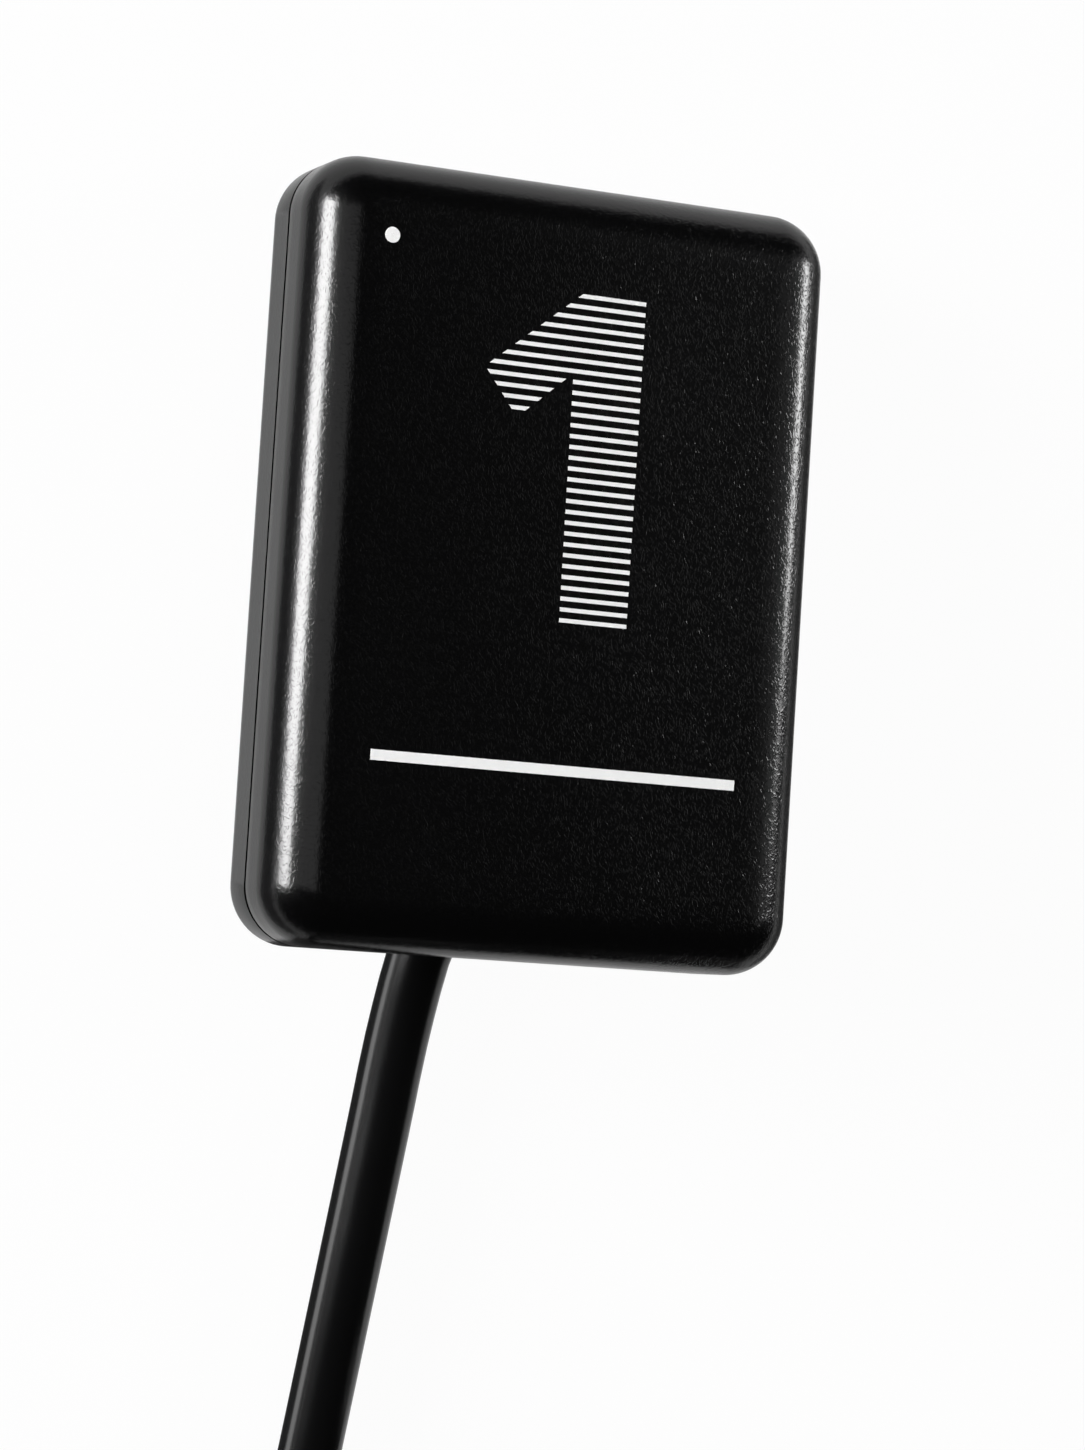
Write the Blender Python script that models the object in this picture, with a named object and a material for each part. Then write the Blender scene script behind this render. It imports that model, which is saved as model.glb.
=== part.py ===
"""Intraoral x-ray sensor: a flat moulded head, a cable that leaves a hump on its back, and a USB plug.

The head lies face up on a table, at z = 0. It rests on the cable hump and on the upper edge of its back.
+X is to the right of the face and +Y is towards the head's upper end. Units are metres.
"""

import math

import bmesh
import bpy

mm = 0.001

# Head, outside
HEAD_WIDTH = 27.5 * mm
HEAD_HEIGHT = 37.7 * mm
HEAD_THICKNESS = 7.3 * mm
CORNER_RADIUS = 2.9 * mm
FACE_ROUND = 2.6 * mm
BACK_ROUND = 1.5 * mm
PARTING_HEIGHT = 3.25 * mm  # of the line between the shells, above the back
PARTING_GAP = 0.2 * mm
EDGE_BREAK = 0.12 * mm  # small bevel on both sides of the parting line

# Shell walls
FACE_WALL = 0.8 * mm
BACK_WALL = 0.9 * mm
SIDE_WALL = 1.1 * mm
RIM_WALL = 0.5 * mm  # the front shell's rim, outside the lip
LIP_HEIGHT = 0.9 * mm  # the rear shell's lip, which the rim seats over
LIP_GAP = 0.2 * mm

# Layers inside the head, from the face backwards
SEAT_GAP = 0.25 * mm
SIDE_GAP = 0.6 * mm  # from the board's edge to the wall
SCINTILLATOR_THICKNESS = 0.5 * mm
FIBRE_PLATE_THICKNESS = 0.8 * mm
IMAGER_THICKNESS = 0.5 * mm
BOARD_THICKNESS = 0.8 * mm
LAYER_STEP = 0.6 * mm  # each layer is this much shorter at each edge than the one behind it
PLATE_CORNER = 0.8 * mm
POST_RADIUS = 1.0 * mm
POST_FOOT = 0.15 * mm  # how much wider a post is at its foot
POST_INSET = 1.9 * mm  # of a post's centre from the board's edge
CUSHION_THICKNESS = 0.35 * mm
CUSHION_CORNER = 1.5 * mm

# Parts on the back of the board
CHIP_HEIGHT = 0.9 * mm
CHIP_CORNER = 0.2 * mm
CONTROLLER_SIDE = 7.0 * mm
CONVERTER_SIDE = 5.0 * mm
REGULATOR_SIDE = 3.2 * mm
CRYSTAL_LENGTH = 3.2 * mm
CRYSTAL_WIDTH = 2.5 * mm
CAPACITOR_LENGTH = 1.9 * mm
CAPACITOR_WIDTH = 1.1 * mm
CAPACITOR_CAP = 0.38 * mm  # length of each metal end
CAPACITOR_PROUD = 0.05 * mm  # how far the metal ends stand out of the ceramic
CAPACITOR_PITCH = 2.6 * mm
CAPACITOR_ROWS = 3
SOCKET_WIDTH = 6.0 * mm
SOCKET_LENGTH = 2.8 * mm
PART_SPACE = 1.6 * mm  # between parts on the board

# Cable and hump
CABLE_DIAMETER = 3.2 * mm
SNUG_GAP = 0.2 * mm  # between the strain relief and what it fits
RELIEF_WALL = 0.3 * mm
SNOUT_WALL = 0.6 * mm
EXIT_BELOW_CENTRE = 9.0 * mm  # where the cable leaves the hump
EXIT_BEHIND_BACK = 2.75 * mm
HUMP_LENGTH = 17.0 * mm
HUMP_RISE = 10.0 * mm  # length over which it rises from the back
HUMP_END = 8.0 * mm  # length of its round far end
HUMP_FILLET = 1.2 * mm
HUMP_SKIN = 0.03 * mm  # keeps the fillet's edge just inside the back wall
CHAMBER_LENGTH = 7.0 * mm  # room for the wires behind the exit
WELL_LENGTH = 5.0 * mm  # opening from the chamber into the head
WELL_CORNER = 0.8 * mm
BORE_MOUTH = 1.6 * mm
RIB_LENGTH = 0.9 * mm
RIB_HEIGHT = 0.45 * mm
RELIEF_HEEL = 1.0 * mm
NOSE_LENGTH = 3.6 * mm
NOSE_FLANGE = 0.9 * mm
NOSE_TIP_WALL = 0.3 * mm
CABLE_INSET = 0.8 * mm  # from the hump's end face to the end of the cable's jacket
WIRE_DIAMETER = 0.36 * mm
WIRE_RING = 0.5 * mm  # radius that the four wires lie on inside the cable
WIRE_PITCH = 1.1 * mm
WIRE_RUN = 3.6 * mm  # from the well to the socket
WIRE_CLIMB = 1.5 * mm  # length over which the wires come up out of the well

# Coil
COIL_MID_RADIUS = 17.0 * mm
COIL_TURNS_WIDE = 4
COIL_TURNS_HIGH = 4
COIL_CENTRE = (17.2 * mm, -71.0 * mm)
COIL_SECTION_ROUND = 1.6 * mm
TIE_ANGLE = math.radians(330)
TIE_WIDTH = 5.0 * mm
TIE_THICKNESS = 0.5 * mm
TIE_GAP = 0.3 * mm
TIE_MARGIN = math.radians(3)  # evenly squeezed stretch on each side of the tie
TIE_EASE = math.radians(24)  # from there to the bundle's full section

# USB plug, with its own x axis from the boot towards the tip
PLUG_HEADING = math.radians(250)
PLUG_OFFSET = 12.0 * mm  # from the coil's centre to the plug's middle line
BODY_LENGTH = 24.0 * mm
BODY_WIDTH = 15.4 * mm
BODY_HEIGHT = 8.0 * mm
BODY_ROUND = 2.2 * mm
BODY_TAPER = 5.0 * mm  # length of the taper at the boot
BODY_END_WIDTH = 10.4 * mm
BODY_END_HEIGHT = 6.4 * mm
BODY_FRONT_ROUND = 0.8 * mm
GRIP_GROOVES = 5
GRIP_PITCH = 2.0 * mm
GRIP_DEPTH = 0.4 * mm
GRIP_MOUTH = 1.28 * mm  # a groove's width at the surface
GRIP_FLOOR = 0.64 * mm  # and at its floor
GRIP_START = 7.0 * mm
BOOT_LENGTH = 8.0 * mm
BOOT_WALL = 1.0 * mm
BOOT_TIP_WALL = 0.5 * mm
BOOT_SPIGOT = 3.0 * mm
BOOT_SPIGOT_WALL = 0.5 * mm
BOOT_GROOVES = 3
BOOT_GROOVE_WIDTH = 0.7 * mm
BOOT_GROOVE_DEPTH = 0.3 * mm
SHELL_WIDTH = 12.0 * mm
SHELL_HEIGHT = 4.5 * mm
SHELL_WALL = 0.3 * mm
SHELL_OUTSIDE = 11.5 * mm
SHELL_INSIDE = 6.5 * mm
SHELL_ROUND = 0.6 * mm
WINDOW_SIDE = 2.2 * mm
WINDOW_CORNER = 0.2 * mm
WINDOW_SPACING = 5.0 * mm
WINDOW_FROM_TIP = 5.2 * mm
TONGUE_THICKNESS = 1.7 * mm
TONGUE_SETBACK = 0.5 * mm
CONTACT_WIDTH = 1.0 * mm
CONTACT_THICKNESS = 0.25 * mm
CONTACT_CORNER = 0.1 * mm
CONTACT_GAP = 0.2 * mm
CONTACT_PLACES = (-3.5 * mm, -1.0 * mm, 1.0 * mm, 3.5 * mm)
OUTER_CONTACT_LENGTH = 7.4 * mm
INNER_CONTACT_LENGTH = 6.4 * mm

# The cable's route in millimetres: from the strain relief to the coil, and from the coil's top to the plug
ROUTE_SPACING = 1.2 * CABLE_DIAMETER
ROUTE_OUT = [
    (0.0, -11.1, 2.7),
    (0.0, -12.6, 2.7),
    (-0.04, -14.1, 2.69),
    (-0.24, -15.9, 2.58),
    (-0.66, -18.0, 2.32),
    (-1.14, -20.4, 2.02),
    (-1.5, -24.6, 1.68),
    (-1.78, -29.2, 1.6),
    (-2.36, -37.4, 1.6),
    (-2.96, -45.8, 1.6),
    (-3.42, -52.0, 1.6),
    (-3.74, -56.6, 1.6),
]
ROUTE_TAIL = [
    (28.79, -52.44, 14.75),
    (23.08, -50.45, 14.9),
    (17.07, -51.11, 15.3),
    (11.93, -54.29, 16.2),
    (8.66, -59.37, 17.0),
    (7.3, -63.1, 17.1),
    (5.4, -68.3, 17.1),
    (3.9, -72.4, 17.1),
]

# Sizes that follow from the others
CABLE_RADIUS = CABLE_DIAMETER / 2
RELIEF_RADIUS = CABLE_RADIUS + RELIEF_WALL
BORE_RADIUS = RELIEF_RADIUS + SNUG_GAP
RIB_RADIUS = BORE_RADIUS - RIB_HEIGHT
SNOUT_RADIUS = BORE_RADIUS + SNOUT_WALL
EXIT_Y = -EXIT_BELOW_CENTRE
INNER_WIDTH = HEAD_WIDTH - 2 * SIDE_WALL
INNER_HEIGHT = HEAD_HEIGHT - 2 * SIDE_WALL
BOARD_WIDTH = INNER_WIDTH - 2 * SIDE_GAP
BOARD_HEIGHT = INNER_HEIGHT - 2 * SIDE_GAP
SCINTILLATOR_TOP = HEAD_THICKNESS - FACE_WALL - SEAT_GAP
FIBRE_PLATE_TOP = SCINTILLATOR_TOP - SCINTILLATOR_THICKNESS - SEAT_GAP
IMAGER_TOP = FIBRE_PLATE_TOP - FIBRE_PLATE_THICKNESS - SEAT_GAP
BOARD_TOP = IMAGER_TOP - IMAGER_THICKNESS - SEAT_GAP
BOARD_BACK = BOARD_TOP - BOARD_THICKNESS
PART_TOP = BOARD_BACK - SEAT_GAP
COIL_WIDTH = COIL_TURNS_WIDE * CABLE_DIAMETER
COIL_HEIGHT = COIL_TURNS_HIGH * CABLE_DIAMETER

# Facets
CORNER_STEPS = 8
ROUND_STEPS = 8
INNER_STEPS = 3
TURN_STEPS = 24
COIL_STEPS = 60
HUMP_STATIONS = 20


def rest_angle():
    """Tilt of the head: its snout and the round of its upper back edge both touch the table."""
    along = HEAD_HEIGHT / 2 - BACK_ROUND - EXIT_Y
    across = BACK_ROUND + EXIT_BEHIND_BACK
    reach = math.hypot(along, across)
    return math.atan2(across, along) + math.asin((SNOUT_RADIUS - BACK_ROUND) / reach)


TILT = rest_angle()


def material(name, colour, roughness, metallic=0.0):
    made = bpy.data.materials.new(name)
    made.use_nodes = True
    shader = made.node_tree.nodes["Principled BSDF"]
    shader.inputs["Base Color"].default_value = (*colour, 1.0)
    shader.inputs["Roughness"].default_value = roughness
    shader.inputs["Metallic"].default_value = metallic
    made.diffuse_color = (*colour, 1.0)
    return made


def loft(rings, cyclic=False):
    """A closed mesh through rings of points: capped at both ends, or joined end to end."""
    mesh = bmesh.new()
    rows = [[mesh.verts.new(point) for point in ring] for ring in rings]
    pairs = list(zip(rows, rows[1:]))
    if cyclic:
        pairs.append((rows[-1], rows[0]))
    else:
        mesh.faces.new(rows[0])
        mesh.faces.new(rows[-1])
    for low, high in pairs:
        for i in range(len(low)):
            j = (i + 1) % len(low)
            mesh.faces.new((low[i], low[j], high[j], high[i]))
    bmesh.ops.recalc_face_normals(mesh, faces=mesh.faces)
    return mesh


def add(name, mesh, finish, parent=None, helper=False):
    """An object made from a bmesh. A helper is only used to cut or to join."""
    data = bpy.data.meshes.new(name)
    mesh.to_mesh(data)
    mesh.free()
    data.shade_smooth()
    data.set_sharp_from_angle(angle=math.radians(35))
    if finish:
        data.materials.append(finish)
    made = bpy.data.objects.new(name, data)
    made.parent = parent
    bpy.context.scene.collection.objects.link(made)
    if helper:
        made.hide_render = True
        made.display_type = "WIRE"
    return made


def boolean(target, other, operation):
    modifier = target.modifiers.new(other.name, "BOOLEAN")
    modifier.operation = operation
    modifier.solver = "EXACT"
    modifier.object = other


def frame(name, location, rotation, parent=None):
    made = bpy.data.objects.new(name, None)
    made.location = location
    made.rotation_euler = rotation
    made.parent = parent
    bpy.context.scene.collection.objects.link(made)
    return made


def rounded(width, height, radius, steps=CORNER_STEPS):
    """Outline of a rectangle with round corners, as (x, y) points."""
    radius = min(radius, width / 2, height / 2)
    points = []
    for quarter, (sx, sy) in enumerate(((1, 1), (-1, 1), (-1, -1), (1, -1))):
        for step in range(steps + 1):
            angle = math.pi / 2 * (quarter + step / steps)
            x = sx * (width / 2 - radius) + radius * math.cos(angle)
            y = sy * (height / 2 - radius) + radius * math.sin(angle)
            points.append((x, y))
    return points


def head_ring(inset, z):
    """Outline of the head, moved inwards, at a height above the back."""
    radius = max(CORNER_RADIUS - inset, 0.25 * mm)
    outline = rounded(HEAD_WIDTH - 2 * inset, HEAD_HEIGHT - 2 * inset, radius)
    return [(x, y, z) for x, y in outline]


def plate(width, height, low, high, radius, at=(0.0, 0.0), steps=2):
    """A flat piece with round corners between two heights."""
    outline = rounded(width, height, radius, steps)
    return loft([[(at[0] + x, at[1] + y, z) for x, y in outline] for z in (low, high)])


def turned(profile, steps=TURN_STEPS, cyclic=False):
    """A solid of revolution about z, from (radius, z) points."""
    rings = []
    for radius, z in profile:
        ring = []
        for step in range(steps):
            angle = 2 * math.pi * step / steps
            ring.append((radius * math.cos(angle), radius * math.sin(angle), z))
        rings.append(ring)
    return loft(rings, cyclic)


def curve_between(p, q, r, s, t):
    """One coordinate of a Catmull-Rom curve, a share t of the way from q to r."""
    bend = (2 * p - 5 * q + 4 * r - s) * t**2
    twist = (3 * q - p - 3 * r + s) * t**3
    return (2 * q + (r - p) * t + bend + twist) / 2


def smooth_path(points, spacing):
    """Points at even steps along a smooth curve through the given ones."""
    ends = [points[0], *points, points[-1]]
    parts = 24
    fine = []
    for around in zip(ends, ends[1:], ends[2:], ends[3:]):
        for step in range(parts):
            fine.append(tuple(curve_between(*values, step / parts) for values in zip(*around)))
    fine.append(points[-1])
    along = [0.0]
    for a, b in zip(fine, fine[1:]):
        along.append(along[-1] + math.dist(a, b))
    count = max(2, round(along[-1] / spacing))
    path, i = [], 0
    for step in range(count):
        wanted = along[-1] * step / count
        while along[i + 1] < wanted:
            i += 1
        share = (wanted - along[i]) / (along[i + 1] - along[i])
        path.append(tuple(p + (q - p) * share for p, q in zip(fine[i], fine[i + 1])))
    path.append(fine[-1])
    return path


def tube(name, points, radius, finish, parent=None):
    """A round cord: a curve object with a bevel and filled caps."""
    curve = bpy.data.curves.new(name, "CURVE")
    curve.dimensions = "3D"
    spline = curve.splines.new("POLY")
    spline.points.add(len(points) - 1)
    for point, place in zip(spline.points, points):
        point.co = (*place, 1.0)
    curve.bevel_depth = radius
    curve.bevel_resolution = 2
    curve.use_fill_caps = True
    curve.materials.append(finish)
    made = bpy.data.objects.new(name, curve)
    made.parent = parent
    bpy.context.scene.collection.objects.link(made)
    return made


def front_shell(finish, parent):
    """The face cover: a tray with a large round all along its front edge and a rim that seats over the lip."""
    top = HEAD_THICKNESS
    rim = PARTING_HEIGHT + PARTING_GAP
    rings = []
    for step in range(ROUND_STEPS + 1):
        angle = math.pi / 2 * step / ROUND_STEPS
        rings.append(head_ring(FACE_ROUND * (1 - math.sin(angle)), top - FACE_ROUND * (1 - math.cos(angle))))
    rings.append(head_ring(0.0, rim + EDGE_BREAK))
    rings.append(head_ring(EDGE_BREAK, rim))
    rings.append(head_ring(RIM_WALL, rim))
    step_height = PARTING_HEIGHT + LIP_HEIGHT + LIP_GAP
    rings.append(head_ring(RIM_WALL, step_height))
    rings.append(head_ring(SIDE_WALL, step_height))
    across = max(FACE_ROUND - SIDE_WALL, EDGE_BREAK)
    deep = max(FACE_ROUND - FACE_WALL, EDGE_BREAK)
    for step in range(INNER_STEPS + 1):
        angle = math.pi / 2 * step / INNER_STEPS
        inset = SIDE_WALL + across * (1 - math.cos(angle))
        rings.append(head_ring(inset, top - FACE_WALL - deep * (1 - math.sin(angle))))
    return add("front_shell", loft(rings), finish, parent)


def rear_shell(finish, parent):
    """The back: a tray with the lip, the posts for the board, the cable hump and its bore."""
    rings = []
    for step in range(ROUND_STEPS + 1):
        angle = math.pi / 2 * step / ROUND_STEPS
        rings.append(head_ring(BACK_ROUND * (1 - math.sin(angle)), BACK_ROUND * (1 - math.cos(angle))))
    lip_outside = RIM_WALL + LIP_GAP
    rings.append(head_ring(0.0, PARTING_HEIGHT - EDGE_BREAK))
    rings.append(head_ring(EDGE_BREAK, PARTING_HEIGHT))
    rings.append(head_ring(lip_outside, PARTING_HEIGHT))
    rings.append(head_ring(lip_outside, PARTING_HEIGHT + LIP_HEIGHT))
    rings.append(head_ring(SIDE_WALL, PARTING_HEIGHT + LIP_HEIGHT))
    across = max(BACK_ROUND - SIDE_WALL, EDGE_BREAK)
    deep = max(BACK_ROUND - BACK_WALL, EDGE_BREAK)
    for step in range(INNER_STEPS + 1):
        angle = math.pi / 2 * step / INNER_STEPS
        inset = SIDE_WALL + across * (1 - math.cos(angle))
        rings.append(head_ring(inset, BACK_WALL + deep * (1 - math.sin(angle))))
    shell = add("rear_shell", loft(rings), finish, parent)

    foot = POST_RADIUS + POST_FOOT
    profile = [(foot, BACK_WALL / 2), (foot, BACK_WALL), (POST_RADIUS, PART_TOP)]
    for number, (x, y) in enumerate(post_places(), 1):
        post = add(f"post_{number}", turned(profile, TURN_STEPS // 2), None, parent, helper=True)
        post.location = (x, y, 0.0)
        boolean(shell, post, "UNION")
    boolean(shell, add("hump", hump(), None, parent, helper=True), "UNION")
    boolean(shell, bore_cutter(parent), "DIFFERENCE")
    boolean(shell, well_cutter(parent), "DIFFERENCE")
    return shell


def post_places():
    x = BOARD_WIDTH / 2 - POST_INSET
    y = BOARD_HEIGHT / 2 - POST_INSET
    return [(x, y), (-x, y), (-x, -y), (x, -y)]


def eased(share):
    share = min(max(share, 0.0), 1.0)
    return share * share * (3 - 2 * share)


def hump():
    """The moulded hump, lofted along the head: from a round end it rises smoothly to a snout round the cable.

    Past the rise its crest is parallel to the cable. Its sections lean over until the last one, the end
    face, is square to the cable.
    """
    rings = []
    for station in range(HUMP_STATIONS + 1):
        along = HUMP_LENGTH * (station / HUMP_STATIONS) ** 1.5  # closer together at the round end
        y = EXIT_Y + HUMP_LENGTH - along
        depth = EXIT_BEHIND_BACK - (y - EXIT_Y) * math.tan(TILT)  # of the cable's axis behind the back
        lean = TILT * eased((along - HUMP_RISE) / (HUMP_LENGTH - HUMP_RISE))
        dome = SNOUT_RADIUS * math.cos(lean) / math.cos(TILT - lean)
        crest = (depth + dome) * eased(along / HUMP_RISE)
        plan = math.sqrt(1 - (1 - min(max(along / HUMP_END, 0.02), 1.0)) ** 2)
        section = hump_section(plan, dome, crest)
        rings.append([(x, y - (z + depth) * math.tan(lean), z) for x, z in section])
    return loft(rings)


def hump_section(plan, dome, crest):
    """Half round top, straight flanks and a fillet onto the back. z is 0 at the back and falls outwards.

    The plan share narrows the section at the hump's round end.
    """
    half = SNOUT_RADIUS * plan
    flare = HUMP_FILLET * plan
    fillet = min(HUMP_FILLET, crest / 2)
    dome = min(dome, crest - fillet)
    side = [(half + flare, BACK_WALL / 2)]
    for step in range(5):
        angle = math.pi / 2 * step / 4
        side.append((half + flare * (1 - math.sin(angle)), HUMP_SKIN - fillet * (1 - math.cos(angle))))
    points = list(side)
    for step in range(1, 12):
        angle = math.pi * step / 12
        points.append((half * math.cos(angle), dome - crest - dome * math.sin(angle)))
    return points + [(-x, z) for x, z in reversed(side)]


def cable_frame(parent):
    """A frame at the hump's end face, with z along the cable and away from the head."""
    return frame("cable_axis", (0.0, EXIT_Y, -EXIT_BEHIND_BACK), (math.pi / 2 + TILT, 0.0, 0.0), parent)


def bore_cutter(parent):
    """The cable's bore, with the rib that keeps the strain relief in, and the wire chamber behind it."""
    over = 1.0 * mm
    rib_back = -(BORE_MOUTH + RIB_LENGTH)
    profile = [
        (BORE_RADIUS, -CHAMBER_LENGTH),
        (BORE_RADIUS, rib_back),
        (RIB_RADIUS, rib_back),
        (RIB_RADIUS, -BORE_MOUTH),
        (BORE_RADIUS, -BORE_MOUTH),
        (BORE_RADIUS, over),
    ]
    return add("bore_cutter", turned(profile), None, cable_frame(parent), helper=True)


def well_cutter(parent):
    """The opening that leads the wires from the chamber through the back wall."""
    low = -EXIT_BEHIND_BACK / 2
    high = BACK_WALL + 0.5 * mm
    middle = EXIT_Y + CHAMBER_LENGTH - WELL_LENGTH / 2
    mesh = plate(2 * RELIEF_RADIUS, WELL_LENGTH, low, high, WELL_CORNER, (0.0, middle), 4)
    return add("well_cutter", mesh, None, parent, helper=True)


def strain_relief(finish, parent):
    """A soft sleeve: a neck inside the rib, a flange outside the hump and a nose that tapers onto the cable."""
    rib_front = -BORE_MOUTH + SNUG_GAP
    rib_back = -(BORE_MOUTH + RIB_LENGTH) - SNUG_GAP
    heel = rib_back - RELIEF_HEEL
    neck = RIB_RADIUS - SNUG_GAP
    socket = CABLE_RADIUS + SNUG_GAP
    hole = WIRE_RING + WIRE_DIAMETER / 2 + SNUG_GAP
    flange = SNOUT_RADIUS - SNUG_GAP
    tip = socket + NOSE_TIP_WALL
    nose_start = SNUG_GAP + NOSE_FLANGE
    nose_end = SNUG_GAP + NOSE_LENGTH
    profile = [
        (RELIEF_RADIUS, heel),
        (RELIEF_RADIUS, rib_back),
        (neck, rib_back),
        (neck, rib_front),
        (RELIEF_RADIUS, rib_front),
        (RELIEF_RADIUS, SNUG_GAP),
        (flange, SNUG_GAP),
    ]
    for step in range(5):
        share = step / 4
        profile.append((tip + (flange - tip) * (1 - share) ** 2, nose_start + (nose_end - nose_start) * share))
    profile += [(socket, nose_end), (socket, CABLE_INSET), (hole, CABLE_INSET), (hole, heel)]
    return add("strain_relief", turned(profile, cyclic=True), finish, cable_frame(parent))


def layers(finishes, parent):
    """The stack between the face and the board, each layer a little smaller than the one behind it."""
    stack = [
        ("carrier_board", BOARD_TOP, BOARD_THICKNESS, finishes["board"]),
        ("imager_chip", IMAGER_TOP, IMAGER_THICKNESS, finishes["silicon"]),
        ("fibre_optic_plate", FIBRE_PLATE_TOP, FIBRE_PLATE_THICKNESS, finishes["fibre"]),
        ("scintillator_plate", SCINTILLATOR_TOP, SCINTILLATOR_THICKNESS, finishes["phosphor"]),
    ]
    for depth, (name, high, thickness, finish) in enumerate(stack):
        less = 2 * depth * LAYER_STEP
        mesh = plate(BOARD_WIDTH - less, BOARD_HEIGHT - less, high - thickness, high, PLATE_CORNER)
        add(name, mesh, finish, parent)


def board_parts(finishes, parent):
    """The electronics on the back of the board, laid out from the wire socket outwards."""
    socket_y = EXIT_Y + CHAMBER_LENGTH + WIRE_RUN + SOCKET_LENGTH / 2
    controller_y = socket_y + (SOCKET_LENGTH + CONTROLLER_SIDE) / 2 + PART_SPACE
    low_y = EXIT_Y - CONVERTER_SIDE / 2 + PART_SPACE
    side_x = (SOCKET_WIDTH + CRYSTAL_LENGTH) / 2 + PART_SPACE
    column_x = (CONTROLLER_SIDE + CAPACITOR_WIDTH) / 2 + PART_SPACE
    parts = [
        ("wire_socket", SOCKET_WIDTH, SOCKET_LENGTH, (0.0, socket_y), finishes["socket"]),
        ("controller_chip", CONTROLLER_SIDE, CONTROLLER_SIDE, (0.0, controller_y), finishes["chip"]),
        ("converter_chip", CONVERTER_SIDE, CONVERTER_SIDE, (-CONVERTER_SIDE, low_y), finishes["chip"]),
        ("regulator_chip", REGULATOR_SIDE, REGULATOR_SIDE, (CONVERTER_SIDE, low_y), finishes["chip"]),
        ("clock_crystal", CRYSTAL_LENGTH, CRYSTAL_WIDTH, (side_x, socket_y), finishes["can"]),
    ]
    for name, width, length, at, finish in parts:
        add(name, plate(width, length, PART_TOP - CHIP_HEIGHT, PART_TOP, CHIP_CORNER, at), finish, parent)
    for number in range(2 * CAPACITOR_ROWS):
        side = 1 if number % 2 else -1
        y = controller_y + (number // 2 - (CAPACITOR_ROWS - 1) / 2) * CAPACITOR_PITCH
        capacitor(f"capacitor_{number + 1}", (side * column_x, y), finishes["capacitor"], parent)
    return socket_y - SOCKET_LENGTH / 2


def cushions(finish, parent):
    """Soft pads between the electronics and the back wall, above and below the well."""
    width = 2 * (post_places()[0][0] - POST_RADIUS - POST_FOOT - SEAT_GAP)
    low = BACK_WALL + SEAT_GAP
    well_top = EXIT_Y + CHAMBER_LENGTH + SEAT_GAP
    well_bottom = well_top - WELL_LENGTH - 2 * SEAT_GAP
    end = BOARD_HEIGHT / 2 - SEAT_GAP
    for name, bottom, top in (("upper_cushion", well_top, end), ("lower_cushion", -end, well_bottom)):
        at = (0.0, (bottom + top) / 2)
        mesh = plate(width, top - bottom, low, low + CUSHION_THICKNESS, CUSHION_CORNER, at, 4)
        add(name, mesh, finish, parent)


def capacitor(name, at, finish, parent):
    """A block capacitor: its two metal ends stand a little proud of the ceramic."""
    half = CAPACITOR_LENGTH / 2
    inner = half - CAPACITOR_CAP
    proud = CAPACITOR_PROUD
    rings = []
    for y, inset in ((-half, 0), (-inner, 0), (-inner, proud), (inner, proud), (inner, 0), (half, 0)):
        w = CAPACITOR_WIDTH / 2 - inset
        low = PART_TOP - CHIP_HEIGHT + inset
        high = PART_TOP - inset
        rings.append([(at[0] + x, at[1] + y, z) for x, z in ((-w, low), (w, low), (w, high), (-w, high))])
    add(name, loft(rings), finish, parent)


def wires(finishes, socket_face, parent):
    """Four conductors from the end of the cable, through the well and to the socket on the board."""
    rise_y = EXIT_Y + CHAMBER_LENGTH - WIRE_CLIMB
    level = PART_TOP - CHIP_HEIGHT / 2
    for number, name in enumerate(("wire_red", "wire_white", "wire_green", "wire_black")):
        angle = math.pi / 4 + math.pi / 2 * number
        across = WIRE_RING * math.cos(angle)
        above = WIRE_RING * math.sin(angle)
        start = on_cable_axis(CABLE_INSET, across, above)
        heel = on_cable_axis(-(BORE_MOUTH + RIB_LENGTH + RELIEF_HEEL + 3 * SNUG_GAP), across, above)
        column = math.copysign(WIRE_PITCH * (0.5 if above > 0 else 1.5), across)
        route = [
            start,
            tuple((a + b) / 2 for a, b in zip(start, heel)),
            heel,
            ((across + column) / 2, rise_y - WIRE_DIAMETER, SNUG_GAP + above / 2),
            (column, rise_y + WIRE_CLIMB, level - SNUG_GAP),
            (column, socket_face - 2 * WIRE_PITCH, level),
            (column, socket_face - SEAT_GAP, level),
        ]
        tube(name, smooth_path(route, WIRE_PITCH / 2), WIRE_DIAMETER / 2, finishes[name], parent)


def on_cable_axis(distance, across, above):
    """A point beside the cable's axis, in the head's frame. Distance counts away from the hump's end face."""
    y = EXIT_Y - distance * math.cos(TILT) - above * math.sin(TILT)
    z = -EXIT_BEHIND_BACK - distance * math.sin(TILT) + above * math.cos(TILT)
    return (across, y, z)


def coil_pinch(angle):
    """How far the tie squeezes the bundle in, at an angle round the coil."""
    away = abs((angle - TIE_ANGLE + math.pi) % (2 * math.pi) - math.pi)
    flat = TIE_WIDTH / 2 / COIL_MID_RADIUS + TIE_MARGIN
    return (TIE_THICKNESS + TIE_GAP) * (1 - eased((away - flat) / TIE_EASE))


def coil_section(angle, offset, corner):
    """Outline of the bundle of turns at an angle round the coil, moved outwards by offset."""
    spread = 2 * (offset - coil_pinch(angle))
    ring = []
    for r, z in rounded(COIL_WIDTH + spread, COIL_HEIGHT + spread, corner, 3):
        reach = COIL_MID_RADIUS + r
        x = COIL_CENTRE[0] + reach * math.cos(angle)
        y = COIL_CENTRE[1] + reach * math.sin(angle)
        ring.append((x, y, COIL_HEIGHT / 2 + z))
    return ring


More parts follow.
